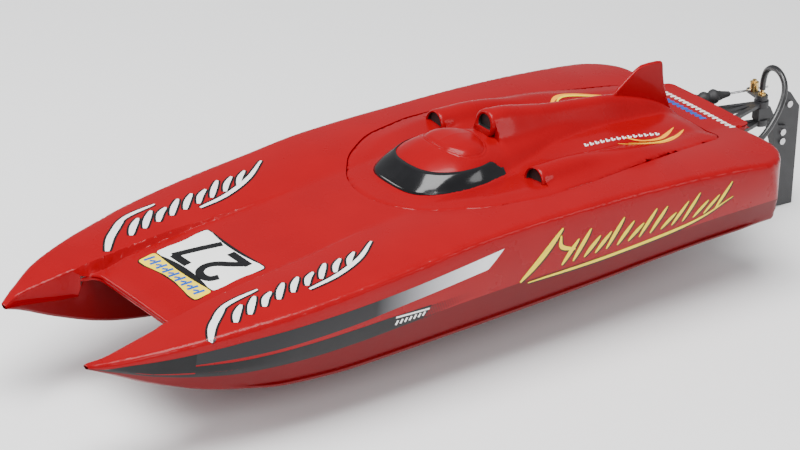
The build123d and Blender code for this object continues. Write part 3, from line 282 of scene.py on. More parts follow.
# ---------------------------------------------------------------- hull lines
LINES = [
    (0, 58.0, 39.0, 52.5, 39.0, 57.5, 37.5, 57.0, 36.5, 35.5, 39.0),
    (14, 68.5, 42.5, 56.4, 42.6, 67.0, 36.0, 64.0, 32.0, 30.0, 42.0),
    (40, 83.5, 49.0, 55.0, 47.5, 81.0, 31.0, 74.0, 22.0, 18.0, 45.0),
    (78, 96.0, 54.5, 52.7, 54.5, 93.5, 27.5, 86.5, 11.0, 3.5, 46.0),
    (100, 101.0, 57.0, 51.3, 58.0, 98.5, 26.0, 90.5, 6.5, -2.0, 52.0),
    (140, 108.5, 61.5, 49.0, 63.0, 103.5, 25.0, 95.0, 0.5, -7.5, 58.8),
    (190, 112.3, 67.0, 46.5, 66.5, 106.0, 25.0, 97.5, -1.5, -9.5, 64.5),
    (240, 113.3, 72.0, 44.0, 71.6, 107.0, 26.5, 98.0, -0.5, -9.5, 71.0),
    (300, 113.6, 78.0, 44.0, 76.5, 107.0, 29.0, 98.0, 1.0, -8.0, 76.0),
    (360, 113.6, 79.4, 44.0, 77.5, 107.0, 30.5, 97.5, 2.5, -6.0, 77.0),
    (420, 114.3, 79.3, 44.0, 77.5, 107.0, 31.0, 97.0, 4.5, -4.0, 77.0),
    (480, 115.3, 77.5, 44.0, 75.0, 107.0, 31.5, 96.0, 7.0, -1.5, 74.5),
    (540, 115.8, 73.3, 44.0, 71.5, 106.5, 32.0, 95.0, 8.3, 0.0, 71.0),
    (570, 116.4, 69.8, 44.0, 69.5, 106.5, 32.0, 95.0, 8.6, 0.5, 69.0),
    (600, 116.4, 66.5, 44.0, 67.8, 106.5, 32.0, 95.0, 8.8, 1.0, 67.3),
]
columns = list(zip(*LINES))
(sheer_x, sheer_z, crest_x, crest_z, knuckle_x, knuckle_z, chine_x, chine_z, keel_z, deck_z) = (
    curve(list(zip(columns[0], column))) for column in columns[1:]
)
STERN_RADIUS = 34.0
SIDE_AT_STERN = 116.4
DECK_EDGE = 4.0
CORNER_D = TRANSOM - STERN_RADIUS
TUNNEL_FRONT, LEAD = 78.0, 74.0
TUNNEL_X, KEEL_X = 51.0, 62.0
LIP_X, LIP_END = 48.0, 612.0
JOINT_Z = 32.0  # where the deck meets the lower hull on the transom
HATCH_FRONT, HATCH_LONG = 271.0, 301.0


def tunnel_z(d):
    return 40.0 + (18.0 - 40.0) * (d - TUNNEL_FRONT) / (TRANSOM - TUNNEL_FRONT)


def stern_limit(d):
    """Half-width that the rounded stern corners leave."""
    over = np.clip(np.asarray(d, float) - CORNER_D, 0, STERN_RADIUS)
    return SIDE_AT_STERN - STERN_RADIUS + np.sqrt(STERN_RADIUS**2 - over**2)


def deck_top(x, d):
    """Deck surface without its rounded edge."""
    x, d = np.abs(np.asarray(x, float)), np.asarray(d, float)
    cx, cz, sx, sz, dz = crest_x(d), crest_z(d), sheer_x(d), sheer_z(d), deck_z(d)
    share = np.clip((x - cx) / np.maximum(sx - cx, 1), 0, 1)
    sponson = cz + (sz - cz) * share + 2.2 * np.sin(np.pi * share) * smooth(40, 130, d)
    wall_share = smooth(cx - 2.6, cx, x)
    centre = dz + 0.8 * (1 - (x / 50) ** 2)
    return centre + (sponson - centre) * wall_share


def side_x(d, z):
    """Half-width of the outer side at a height, from the sheer down to the chine."""
    d, z = np.asarray(d, float), np.asarray(z, float)
    sz = sheer_z(d) - DECK_EDGE
    kz = knuckle_z(d)
    hz = chine_z(d)
    upper = np.clip((z - kz) / np.maximum(sz - kz, 1e-3), 0, 1)
    bulge = 1.2 * np.sin(np.pi * upper) * smooth(40, 140, d)
    above = knuckle_x(d) + (sheer_x(d) - knuckle_x(d)) * upper + bulge
    lower = np.clip((z - hz) / np.maximum(kz - hz, 1e-3), 0, 1)
    below = chine_x(d) + (knuckle_x(d) - chine_x(d)) * lower
    return np.minimum(np.where(z >= kz, above, below), stern_limit(d))


def lead_edge(x):
    """Front edge of the centre deck, with a fillet into each sponson."""
    over = np.clip(np.abs(x) - 40.0, 0, 12)
    return LEAD - (12 - np.sqrt(144 - over**2))


# Rings in plan, port half then mirrored.
long_d = np.concatenate([np.linspace(0, 20, 9), np.linspace(24, 96, 19), np.linspace(101, CORNER_D, 94)])
corner = np.linspace(0, math.pi / 2, 15)[1:]
outer_side = [(float(sheer_x(d)), float(d)) for d in long_d]
outer_side += [
    (SIDE_AT_STERN - STERN_RADIUS + STERN_RADIUS * math.cos(a), CORNER_D + STERN_RADIUS * math.sin(a))
    for a in corner
]
stern_line = [(float(x), TRANSOM) for x in np.linspace(78, LIP_X, 9)]
lip_line = [(LIP_X, 603.0), (LIP_X, 606.0), (46.8, 609.2), (44.2, 611.4), (41, LIP_END)]
lip_line += [(float(x), LIP_END) for x in np.linspace(36, 0, 10)]
lead_x = np.concatenate([np.linspace(0, 40, 11), np.linspace(41.5, 52, 8)])
lead_line = [(float(x), float(lead_edge(x))) for x in lead_x]
inner_d = [62.0] + [float(d) for d in long_d[::-1] if d < 60]
inner_side = [(float(crest_x(d)), float(d)) for d in inner_d[1:]]
half_ring = lead_line + inner_side + outer_side + stern_line + lip_line
deck_ring = half_ring + [(-x, d) for x, d in reversed(half_ring) if x > 1e-6]


def rounded_ring(amount):
    """The hatch seam in plan, moved in by an amount, with its corners as arcs."""
    port = [(0, 271), (30, 279), (58, 301), (77, 331), (85.5, 376), (84, 426), (60.5, 572)]
    radii = [60, 60, 60, 60, 60, 60, 12]
    ring = port + [(-x, d) for x, d in reversed(port[1:])]
    radii = radii + radii[:0:-1]
    sides = []
    for (x1, y1), (x2, y2) in zip(ring, ring[1:] + ring[:1]):
        size = math.hypot(x2 - x1, y2 - y1)
        nx, ny = -(y2 - y1) / size, (x2 - x1) / size
        sides.append((x1 + nx * amount, y1 + ny * amount, (x2 - x1) / size, (y2 - y1) / size))
    points = []
    for (ax, ay, au, av), (bx, by, bu, bv), radius in zip(sides[-1:] + sides[:-1], sides, radii):
        share = ((bx - ax) * bv - (by - ay) * bu) / (au * bv - av * bu)
        cx, cy = ax + au * share, ay + av * share
        angle = math.acos(max(-1, min(1, au * bu + av * bv)))
        r = radius - amount
        reach = r * math.tan(angle / 2)
        steps = 9 if radius > 20 else 12
        mx, my = cx - au * reach - av * r, cy - av * reach + au * r
        start = math.atan2(cy - av * reach - my, cx - au * reach - mx)
        for i in range(steps + 1):
            a = start + angle * i / steps
            points.append((mx + r * math.cos(a), my + r * math.sin(a)))
    dense = []
    for p, q in zip(points, points[1:] + points[:1]):
        count = max(1, int(math.hypot(q[0] - p[0], q[1] - p[1]) / 3.0))
        dense += [(p[0] + (q[0] - p[0]) * i / count, p[1] + (q[1] - p[1]) * i / count) for i in range(count)]
    return dense


# ---------------------------------------------------------------- deck
def edge_drop(dist, radius):
    near = np.clip(radius - dist, 0, radius)
    return radius - np.sqrt(np.maximum(radius * radius - near * near, 0))


def ring_offsets(line, distances):
    """Points moved off a line to its right, in plan."""
    found = []
    line = np.array(line)
    step = np.gradient(line, axis=0)
    normal = np.stack([step[:, 1], -step[:, 0]], axis=1)
    normal /= np.maximum(np.linalg.norm(normal, axis=1), 1e-9)[:, None]
    for dist in distances:
        found += [tuple(p) for p in line + normal * dist]
    return found


seam_ring = rounded_ring(0.0)
outer_line = outer_side + stern_line
inner_line = lead_line + inner_side
extra = []
for spacing_x in np.arange(-112, 113, 4.0):
    for d in np.arange(2, 612, 4.0):
        extra.append((spacing_x + (d % 8) / 4, d))
for d in np.arange(2, 240, 3.0):
    for shift in (0.0, -0.9, -1.8, -2.7, 1.2):
        extra += [(side * (float(crest_x(d)) + shift), float(d)) for side in (1, -1)]
for sign in (1, -1):
    outline = [(sign * x, d) for x, d in outer_line]
    inner = [(sign * x, d) for x, d in inner_line]
    extra += ring_offsets(outline, [-sign * s for s in (0.5, 1.3, 2.5, 4.0, 6.0)])
    extra += ring_offsets(inner, [-sign * s for s in (0.4, 1.0, 2.0)])
extra = np.array(extra)
full_outer = np.array(outer_line)
full_inner = np.array(inner_line)
near_outer = distance_to(np.abs(extra), full_outer)
near_inner = distance_to(np.abs(extra), full_inner)
near_seam = distance_to(extra, seam_ring + seam_ring[:1])
kept = inside(extra, deck_ring) & ~inside(extra, seam_ring)
kept &= (near_outer > 0.35) & (near_inner > 0.3) & (near_seam > 0.8)
verts, faces = sheet_mesh(
    [deck_ring, seam_ring], extra[kept],
    lambda middle: inside(middle, deck_ring) & ~inside(middle, seam_ring),
)


def rounded_deck(x, d):
    """Deck surface with its rounded outer edge and the softer inner edges of the bow."""
    flat = np.stack([np.abs(x), d], axis=1)
    radius = np.minimum(DECK_EDGE, 0.25 * (sheer_x(d) - crest_x(d)))
    top = deck_top(x, np.minimum(d, TRANSOM))
    top = top - edge_drop(distance_to(flat, full_outer), radius)
    return top - edge_drop(distance_to(flat, full_inner), np.minimum(2.0, 0.5 * radius))


heights = rounded_deck(verts[:, 0], verts[:, 1])
deck_vertices = [(x, d, z) for (x, d), z in zip(verts, heights)]
deck_faces = [tuple(f) for f in faces]


def strip(rows, vertices, faces, closed=False):
    """Adds a grid of rows of points to a moulding."""
    start = len(vertices)
    for row in rows:
        vertices.extend(row)
    faces.extend(grid_faces(len(rows), len(rows[0]), start, closed))


def deck_strip(rows, closed=False):
    strip(rows, deck_vertices, deck_faces, closed)


for sign in (1, -1):
    rows = []
    for share in np.linspace(0, 1, 9):
        row = []
        for x, d in outer_line:
            radius = min(DECK_EDGE, 0.25 * float(sheer_x(d) - crest_x(d)))
            top = float(deck_top(min(x, float(sheer_x(d))), d)) - radius
            if d < TRANSOM - 0.01 or x > 82:
                low = float(knuckle_z(d))
                z = top + (low - top) * share
                across = x if share == 0 else min(x, float(side_x(d, z)))
            else:
                z, across = top + (JOINT_Z - top) * share, x
            row.append((sign * across, d, z))
        rows.append(row)
    deck_strip(rows)
    rows = []
    for share in np.linspace(0, 1, 5):
        row = []
        for x, d in [(52.0, 62.0)] + inner_side:
            top = float(deck_top(x, d)) - min(1.0, 0.12 * float(sheer_x(d) - crest_x(d)))
            low = float(keel_z(d)) + 0.5 * (top - float(keel_z(d)))
            row.append((sign * (x - 0.5 * share), d, top + (low - top) * share))
        rows.append(row)
    deck_strip(rows)
    lead_rows = []
    for turn_angle in np.linspace(0, math.pi, 9):
        row = []
        for x, d in lead_line:
            top = float(deck_top(min(x, 49), max(d, 64))) - 2
            middle_z, half = (top + 40) / 2, (top - 40) / 2
            row.append((sign * x, d + 3.5 - 3.5 * math.sin(turn_angle) - 3.5 * (turn_angle == 0),
                        middle_z + half * math.cos(turn_angle)))
        lead_rows.append(row)
    deck_strip(lead_rows)
# transom behind the lip, the lip's edge and its underside
deck_strip([[(x, TRANSOM, z) for x in np.linspace(-LIP_X, LIP_X, 25)] for z in np.linspace(66.5, JOINT_Z, 6)])
lip_full = [(x, d) for x, d in lip_line] + [(-x, d) for x, d in reversed(lip_line[:-1])]
lip_edge = [(LIP_X, TRANSOM)] + lip_full + [(-LIP_X, TRANSOM)]
deck_strip([[(x, d, z) for x, d in lip_edge] for z in (67.2, 65.4, 64.2)])
lip_x = np.linspace(-LIP_X + 1, LIP_X - 1, 13)
deck_strip([[(x, d, 64.2) for x in lip_x] for d in (TRANSOM, LIP_END - 3, LIP_END - 0.4)])
# turned-down edge and ledge round the hatch opening
ring_array = np.array(seam_ring)
seam_z = rounded_deck(ring_array[:, 0], ring_array[:, 1])
ledge_z = 70.0 + (65.6 - 70.0) * (ring_array[:, 1] - HATCH_FRONT) / HATCH_LONG
step = np.roll(ring_array, -1, axis=0) - np.roll(ring_array, 1, axis=0)
inward = np.stack([-step[:, 1], step[:, 0]], axis=1)
inward /= np.linalg.norm(inward, axis=1)[:, None]
rows = []
for amount, level in (
    (0.0, seam_z), (0.05, (seam_z + ledge_z) / 2), (0.1, ledge_z), (4.0, ledge_z), (7.8, ledge_z),
    (7.8, ledge_z - 2),
):
    rows.append([(x, d, z) for (x, d), z in zip(ring_array + inward * amount, level)])
deck_strip(rows, closed=True)
deck = new_object("deck_moulding", deck_vertices, deck_faces, [RED])
sharpen(deck, 40)
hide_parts("deck_shell")

# ---------------------------------------------------------------- lower hull
low_vertices, low_faces = [], []


def low_strip(rows):
    strip(rows, low_vertices, low_faces)


def inner_wall_low(d):
    """Height where the deck moulding's inner wall ends at the bow."""
    top = float(deck_top(crest_x(d), d)) - 1
    return float(keel_z(d)) + 0.5 * (top - float(keel_z(d)))


def section(d):
    """Lower section from the knuckle to the inner wall, as points (x, z)."""
    d = float(d)
    kx, kz, hx, hz, keel = (float(f(d)) for f in (knuckle_x, knuckle_z, chine_x, chine_z, keel_z))
    centre = min(KEEL_X, (hx + TUNNEL_X) / 2)
    flat = min(8.0, 0.3 * (hx - TUNNEL_X)) / 2
    cap = float(stern_limit(d))
    run = [(kx + (hx - kx) * s, kz + (hz - kz) * s) for s in np.linspace(0, 0.86, 6)]
    # a small spray strake stands proud along the chine
    proud = 1.6 * float(smooth(90, 130, d)) * float(1 - smooth(560, 590, d))
    run += [(hx + (kx - hx) * 0.10 + proud, hz + (kz - hz) * 0.10), (hx + proud, hz + 0.3)]
    start_x, start_z = hx - 1.0, hz - 0.6
    for s in (0, 0.33, 0.66, 1.0):
        run.append((start_x + (centre + flat - start_x) * s, start_z + (keel - start_z) * s))
    rise = min(3.0, 0.3 * (float(crest_z(d)) - keel))
    run += [(centre - flat, keel), (TUNNEL_X + 2.5, keel + 0.2 * rise), (TUNNEL_X + 0.3, keel + rise)]
    wall_top = tunnel_z(d) if d >= TUNNEL_FRONT - 0.1 else inner_wall_low(d)
    run += [(TUNNEL_X, keel + rise + (wall_top - keel - rise) * s) for s in (0.5, 1.0)]
    return [(min(x, cap), z) for x, z in run]


stern_d = [CORNER_D + STERN_RADIUS * math.sin(a) for a in corner]
back_d = [float(d) for d in long_d if d >= TUNNEL_FRONT] + stern_d
nose_d = [float(d) for d in long_d if d < TUNNEL_FRONT] + [back_d[0]]
for sign in (1, -1):
    low_strip([[(sign * x, d, z) for x, z in section(d)] for d in nose_d])
    low_strip([[(sign * x, d, z) for x, z in section(d)] for d in back_d])
    rows = []
    for d in nose_d:
        x, z = section(d)[-1]
        edge_x, edge_z = (float(crest_x(d)) - 0.5, z) if d < 61 else (51.5, 41.5)
        rows.append([(sign * x, d, z), (sign * edge_x, d, edge_z)])
    low_strip(rows)
    end = section(TRANSOM)
    low_strip([[(sign * x, TRANSOM, z + (JOINT_Z - z) * s) for x, z in end] for s in (0, 0.5, 1)])
tunnel_x = np.linspace(-TUNNEL_X, TUNNEL_X, 19)
low_strip([[(x, d, tunnel_z(d)) for x in tunnel_x] for d in back_d])
low_strip([[(x, TRANSOM, z) for x in tunnel_x] for z in (tunnel_z(TRANSOM), 25, JOINT_Z)])
# the lower hull takes the darker copy of the red, which is painted shade
lower = new_object("lower_hull", low_vertices, low_faces, [RED_PAINTED_SHADE_LOWER])
sharpen(lower, 34)
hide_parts("hull_shell")

# ---------------------------------------------------------------- hatch
canopy_top = curve([
    (294.3, 76), (297.5, 78.4), (305, 84.5), (313.6, 90.5), (325, 96.3), (340, 100.8), (356, 103),
    (373, 100.0), (386, 97.5), (410, 96.5), (443, 95), (480, 91), (520, 85), (560, 75), (572, 70),
])
canopy_width = curve([
    (294.2, 3), (295, 14), (297, 24), (300, 30.5), (306, 37), (313.6, 42.5), (325, 46.5), (339, 49.1),
    (352, 48), (367.6, 44), (385, 39), (400, 35), (416, 31), (443, 25), (470, 20), (510, 14), (560, 8),
    (572, 6),
])
canopy_base = curve([
    (290, 75.5), (350, 76.5), (400, 79), (443, 80.5), (480, 79), (520, 75), (560, 70), (572, 68.5),
])
canopy_side = curve([
    (0, 1), (0.25, 0.965), (0.46, 0.845), (0.704, 0.535), (0.86, 0.13), (0.93, 0.03), (1, 0),
])
spine_top = curve([(386, 115.8), (400, 115.2), (420, 111.5), (443, 107), (476, 103), (507, 99.2), (530, 93),
                   (560, 80), (572, 70)])
spine_radius = curve([(386, 11), (420, 9.5), (476, 7.5), (520, 5.5), (572, 4)])
side_scoop_x = curve([(386, 61), (430, 59.5), (500, 55)])
side_scoop_top = curve([(386, 92.6), (410, 92.6), (430, 91), (450, 87.4), (470, 82), (490, 75), (510, 68)])
side_scoop_radius = curve([(386, 11.2), (430, 10.5), (500, 9)])
MOUTH, MOUTH_HALF = 387.0, 9.6
PANEL_D, PANEL_LONG, PANEL_WIDE, PANEL_POWER = 356.5, 17.5, 25.0, 2.3
SCOOP_X = 61.0
PANEL_RISE = 1.0


def housing(x, d, mid, top, radius):
    off = np.abs(x - mid)
    edge = 0.93 * radius
    arch = top - radius + np.sqrt(np.maximum(radius**2 - np.minimum(off, edge) ** 2, 0))
    return np.where(d < MOUTH, -500, arch - np.maximum(off - edge, 0) * 2.2)


def canopy_shape(x, d):
    share = np.abs(x) / canopy_width(d)
    base = canopy_base(d)
    inside_canopy = base + (canopy_top(d) - base) * canopy_side(share)
    return np.where((share < 1) & (d > 294.3), inside_canopy, -500)


def panel_share(x, d):
    """Distance from the roof panel's middle, as a share of the way to its outline."""
    across, along = np.abs(x / PANEL_WIDE), np.abs((d - PANEL_D) / PANEL_LONG)
    return (across**PANEL_POWER + along**PANEL_POWER) ** (1 / PANEL_POWER)


def panel_point(angle, share):
    c, s = math.cos(angle), math.sin(angle)
    size = share / (abs(c) ** PANEL_POWER + abs(s) ** PANEL_POWER) ** (1 / PANEL_POWER)
    return c * size * PANEL_WIDE, PANEL_D + s * size * PANEL_LONG


def hatch_top(x, d, groove=True):
    x, d = np.asarray(x, float), np.asarray(d, float)
    places = np.stack([x.ravel(), d.ravel()], axis=1)
    from_seam = distance_to(places, seam_ring + seam_ring[:1]).reshape(x.shape)
    base = deck_top(x, d) + 2.2 * smooth(0, 16, from_seam) * smooth(275, 330, d)
    shoulder = canopy_base(d) - deck_z(d)
    base = base + (shoulder + 1.5) * smooth(52, 22, np.abs(x)) * smooth(385, 440, d)
    flank = 5.0 * np.exp(-(((np.abs(x) - 58) / 16) ** 2)) * smooth(386, 402, d) * smooth(540, 470, d)
    base = base + flank
    z = union(base, canopy_shape(x, d), 1.2)
    z = union(z, housing(x, d, 0 * x, spine_top(d), spine_radius(d)), 4.0)
    for sign in (1, -1):
        scoop = housing(x, d, sign * side_scoop_x(d), side_scoop_top(d), side_scoop_radius(d))
        z = union(z, scoop, 3.0)
    if groove:
        ring = panel_share(x, d)
        z = z - 0.7 * np.exp(-(((ring - 1.035) / 0.022) ** 2)) - 0.5 * np.exp(-(((ring - 1.13) / 0.025) ** 2))
    return z


hatch_ring = rounded_ring(0.5)
extra = [(x + (d % 5) / 2, d) for x in np.arange(-84, 85, 2.5) for d in np.arange(274, 572, 2.5)]
angles = around(120)
for share in (0.97, 1.0, 1.02, 1.035, 1.05, 1.07, 1.1, 1.13, 1.16, 1.19):
    extra += [panel_point(a, share) for a in angles]
for mid, reach in ((0, 14), (SCOOP_X, 15), (-SCOOP_X, 15)):
    for x in np.arange(mid - reach, mid + reach + 0.1, 1.0):
        extra += [(x, d) for d in (386.6, 386.95, 387.1, 387.6, 389, 391, 394)]
for share in (0.80, 0.86, 0.9, 0.94, 0.98, 1.0, 1.03):
    for d in np.concatenate([np.arange(295, 312, 1.2), np.arange(312, 560, 3.0)]):
        extra += [(side * share * float(canopy_width(d)), d) for side in (1, -1)]
for d in np.arange(294, 300, 0.7):
    extra += [(x, d) for x in np.arange(-32, 33, 2.0)]
extra = np.array(extra)
extra = extra[inside(extra, hatch_ring) & (distance_to(extra, hatch_ring + hatch_ring[:1]) > 0.7)]
verts, faces = sheet_mesh([hatch_ring], extra, lambda middle: inside(middle, hatch_ring))
heights = hatch_top(verts[:, 0], verts[:, 1])
rim = edge_drop(distance_to(verts, hatch_ring + hatch_ring[:1]), 1.0)
hatch_vertices = [(x, d, z) for (x, d), z in zip(verts, heights - rim)]
hatch_faces = [tuple(f) for f in faces]
ring_array = np.array(hatch_ring)
rim_z = hatch_top(ring_array[:, 0], ring_array[:, 1]) - 1.0
floor_z = 71.2 + (66.8 - 71.2) * (ring_array[:, 1] - HATCH_FRONT) / HATCH_LONG
start = len(hatch_vertices)
for share in (0, 0.5, 1):
    hatch_vertices += [(x, d, z) for (x, d), z in zip(hatch_ring, rim_z + (floor_z - rim_z) * share)]
hatch_faces += grid_faces(3, len(hatch_ring), start, closed=True)
# the upright faces behind each scoop's mouth take a black that paints the shade inside the opening
hatch_mats = [0] * len(hatch_faces)
for index, face in enumerate(faces):
    x, d = verts[list(face)].mean(axis=0)
    off = min(abs(x), abs(x - SCOOP_X), abs(x + SCOOP_X))
    if MOUTH - 0.07 < d < MOUTH + 0.2 and off < MOUTH_HALF:
        hatch_mats[index] = 2
hatch = new_object(
    "hatch_moulding", hatch_vertices, hatch_faces, [RED, INSIDE, SCOOP_PAINTED_SHADE], "hatch", hatch_mats
)
skin = hatch.modifiers.new("skin", "SOLIDIFY")
skin.thickness, skin.offset = 0.0016, -1
skin.material_offset = 1
skin.use_even_offset = False
sharpen(hatch, 50)
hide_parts("hatch_cover")

# raised roof panel
def panel_height(x, d):
    return float(hatch_top(np.array([x]), np.array([d]), False)[0]) + PANEL_RISE


ring_count = 14
panel_vertices = [(0, PANEL_D, panel_height(0.0, PANEL_D))]
for ring in range(1, ring_count + 1):
    share = ring / ring_count
    rim_drop = 1.3 * (share > 0.99) + 0.35 * (0.9 < share < 0.99)
    for a in angles:
        x, d = panel_point(a, share)
        panel_vertices.append((x, d, panel_height(x, d) - rim_drop))
count = len(angles)
panel_faces = [(0, 1 + i, 1 + (i + 1) % count) for i in range(count)]
panel_faces += grid_faces(ring_count, count, 1, closed=True)
panel = new_object("roof_panel_raised", panel_vertices, panel_faces, [RED], body="hatch")
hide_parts("roof_panel")

# windscreen band: rays out from the canopy's middle, and heights up its side
BAND_MIDDLE_D = 350.0
band_rows = []
for share in np.linspace(0, 1, 9):
    row = []
    for t in np.linspace(-1, 1, 121):
        bearing = math.radians(-90 + t * (90 + 40 - 5 * share))
        ends = math.sqrt(max(0.0, 1 - max(0.0, (abs(t) - 0.93) / 0.07) ** 2))
        level = 84.3 + (share - 0.5) * 12.6 * max(ends, 0.05)
        lo, hi = 5.0, 62.0
        for _ in range(26):
            mid = (lo + hi) / 2
            x, d = mid * math.cos(bearing), BAND_MIDDLE_D + mid * math.sin(bearing)
            if float(canopy_shape(np.array([x]), np.array([d]))[0]) > level:
                lo = mid
            else:
                hi = mid
        out_x, out_d = math.cos(bearing), math.sin(bearing)
        row.append((out_x * (lo + 0.35), BAND_MIDDLE_D + out_d * (lo + 0.35), level + 0.15))
    band_rows.append(row)
band_vertices = [p for row in band_rows for p in row]
screen = new_object("windscreen_band", band_vertices, grid_faces(9, 121), [SCREEN], body="hatch")
thick = screen.modifiers.new("skin", "SOLIDIFY")
thick.thickness, thick.offset = 0.0007, 0
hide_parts("windscreen")


# scoop mouths: a rounded lip round a D-shaped opening, with its inside and end cap in a black that paints the
# shade deep in the opening
def scoop_mouth(name, mid_x, mid_z, lean, radius, lip, chord):
    count, rings = 56, []
    turns = [2 * math.pi * i / count for i in range(count)]

    def circle(r, d):
        return [(r * math.cos(a), r * math.sin(a), d) for a in turns]

    def opening(r, d, low):
        return [(r * math.cos(a), max(r * math.sin(a), low), d) for a in turns]

    rings.append(circle(radius, MOUTH + 4.0))
    rings.append(circle(radius, MOUTH + 1.0))
    rings.append(circle(radius - 0.25, MOUTH - 0.5))
    rings.append(circle(radius - 0.9, MOUTH - 1.3))
    rings.append(circle(radius - 0.5 * lip - 0.3, MOUTH - 1.5))
    rings.append(opening(radius - lip, MOUTH - 1.3, -chord))
    rings.append(opening(radius - lip - 0.5, MOUTH - 0.6, -chord + 0.4))
    rings.append(opening(radius - lip - 0.7, MOUTH + 3.0, -chord + 0.6))
    rings.append(opening(radius - lip - 1.4, MOUTH + 12.0, -chord + 1.0))
    ca, sa = math.cos(lean), math.sin(lean)
    points = []
    for ring in rings:
        for u, v, d in ring:
            points.append((mid_x + u * ca + v * sa, d - 1.9 + (v + 3) * 0.10, mid_z - u * sa + v * ca))
    faces = grid_faces(len(rings), count, 0, closed=True)
    # the inner rings and the end cap take the painted shade
    mats = [0] * (6 * count) + [1] * (2 * count)
    faces.append(tuple(range((len(rings) - 1) * count, len(rings) * count)))
    mats.append(1)
    piece = new_object(name, points, faces, [RED, SCOOP_PAINTED_SHADE], body="hatch", face_mats=mats)
    sharpen(piece, 50)
    return piece


mouths = [
    scoop_mouth("scoop_mouth_middle", 0.0, 105.3, 0.0, 10.9, 3.0, 3.5),
    scoop_mouth("scoop_mouth_port", SCOOP_X, 82.0, math.radians(14), 11.1, 1.7, 4.5),
    scoop_mouth("scoop_mouth_starboard", -SCOOP_X, 82.0, math.radians(-14), 11.1, 1.7, 4.5),
]
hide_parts("scoop_liners")

# fin
FIN = [
    (506, 92), (509.5, 99), (515, 103.4), (524, 110.0), (532, 115.2), (537, 117.3), (545, 117.6),
    (553, 117.2), (557.5, 116.2), (558.6, 113), (559.6, 104), (561.5, 94), (565.5, 82), (571, 69.5),
    (560, 66), (530, 76),
]
fin_vertices = []
for side in (-1, 1):
    fin_vertices += [(side * (2.1 if z < 90 else 1.5), d, z) for d, z in FIN]
size = len(FIN)
fin_faces = [tuple(range(size)), tuple(range(2 * size - 1, size - 1, -1))]
fin_faces += [(i, (i + 1) % size, size + (i + 1) % size, size + i) for i in range(size)]
fin = new_object("tail_fin", fin_vertices, fin_faces, [RED], body="hatch")
soft = fin.modifiers.new("edges", "BEVEL")
soft.width, soft.segments, soft.limit_method = 0.0012, 3, "ANGLE"
sharpen(fin, 60)


# ---------------------------------------------------------------- decals
# Thin printed sheets that follow the surface under them. A surface takes (u, v) and a lift.
def on_deck(u, v, lift):
    """u across, v aft, on the fixed deck."""
    return np.stack([u, v, rounded_deck(u, v) + lift], axis=1)


def on_hatch(u, v, lift):
    return np.stack([u, v, hatch_top(u, v) + lift], axis=1)


def on_side(sign):
    """u aft, v up, on the port (1) or starboard (-1) side."""
    return lambda u, v, lift: np.stack([sign * (side_x(u, v) + lift), u, v], axis=1)


class Print:
    """Collects the strokes of one printed graphic, with a material for each."""

    def __init__(self, name, surface, body, mats):
        self.name, self.surface, self.body, self.mats = name, surface, body, mats
        self.points, self.faces, self.indices = [], [], []

    def grid(self, u, v, mat, lift):
        rows, cols = u.shape
        start = len(self.points)
        self.points += [tuple(p) for p in self.surface(u.ravel(), v.ravel(), lift)]
        made = grid_faces(rows, cols, start)
        self.faces += made
        self.indices += [mat] * len(made)

    def stroke(self, path, width, mat, lift, taper=(1.0, 1.0)):
        """A brush stroke along a path; taper is its relative width at the two ends."""
        path = np.array(path, float)
        if len(path) > 2:
            dense = []
            ends = np.vstack([2 * path[0] - path[1], path, 2 * path[-1] - path[-2]])
            for p0, p1, p2, p3 in zip(ends, ends[1:], ends[2:], ends[3:]):
                steps = max(3, int(np.linalg.norm(p2 - p1) / 1.6))
                for t in np.linspace(0, 1, steps + 1)[:-1]:
                    dense.append(0.5 * (2 * p1 + (p2 - p0) * t + (2 * p0 - 5 * p1 + 4 * p2 - p3) * t * t
                                        + (3 * p1 - p0 - 3 * p2 + p3) * t**3))
            dense.append(path[-1])
            path = np.array(dense)
        else:
            dense = []
            for p, q in zip(path, path[1:]):
                steps = max(1, int(np.linalg.norm(q - p) / 3))
                dense += [p + (q - p) * t for t in np.linspace(0, 1, steps + 1)[:-1]]
            path = np.array(dense + [path[-1]])
        direction = np.gradient(path, axis=0)
        direction /= np.maximum(np.linalg.norm(direction, axis=1), 1e-9)[:, None]
        normal = np.stack([-direction[:, 1], direction[:, 0]], axis=1)
        t = np.linspace(0, 1, len(path))
        ends = np.where(t < 0.5, *taper)
        half = 0.5 * width * (ends + (1 - ends) * np.sin(np.pi * t) ** 0.7)
        across = np.linspace(-1, 1, 4)[:, None]
        u = path[:, 0][None] + across * (normal[:, 0] * half)[None]
        v = path[:, 1][None] + across * (normal[:, 1] * half)[None]
        self.grid(u, v, mat, lift)

    def patch(self, ring, mat, lift, spacing=4.0):
        ring = [tuple(map(float, p)) for p in ring]
        array = np.array(ring)
        low, high = array.min(axis=0), array.max(axis=0)
        grid = [np.arange(a, b, spacing) for a, b in zip(low, high)]
        inner = np.array([(x, y) for x in grid[0] for y in grid[1]])
        inner = inner[inside(inner, array) & (distance_to(inner, ring + ring[:1]) > 0.25 * spacing)]
        verts, faces = sheet_mesh([ring], inner, lambda middle: inside(middle, array))
        start = len(self.points)
        self.points += [tuple(p) for p in self.surface(verts[:, 0], verts[:, 1], lift)]
        self.faces += [tuple(start + int(i) for i in f) for f in faces]
        self.indices += [mat] * len(faces)

    def make(self):
        mesh = bpy.data.meshes.new(self.name)
        mesh.from_pydata([place(*p) for p in self.points], [], self.faces)
        for mat in self.mats:
            mesh.materials.append(mat)
        mesh.polygons.foreach_set("material_index", np.array(self.indices, np.int32))
        mesh.shade_smooth()
        piece = add_object(self.name, mesh)
        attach(piece, self.body)
        return piece


def framed(origin, along, upright, units):
    """Points of a stroke given in its own frame, put on the surface."""
    origin, along, upright = (np.array(a, float) for a in (origin, along, upright))
    return [origin + along * u + upright * v for u, v in units]


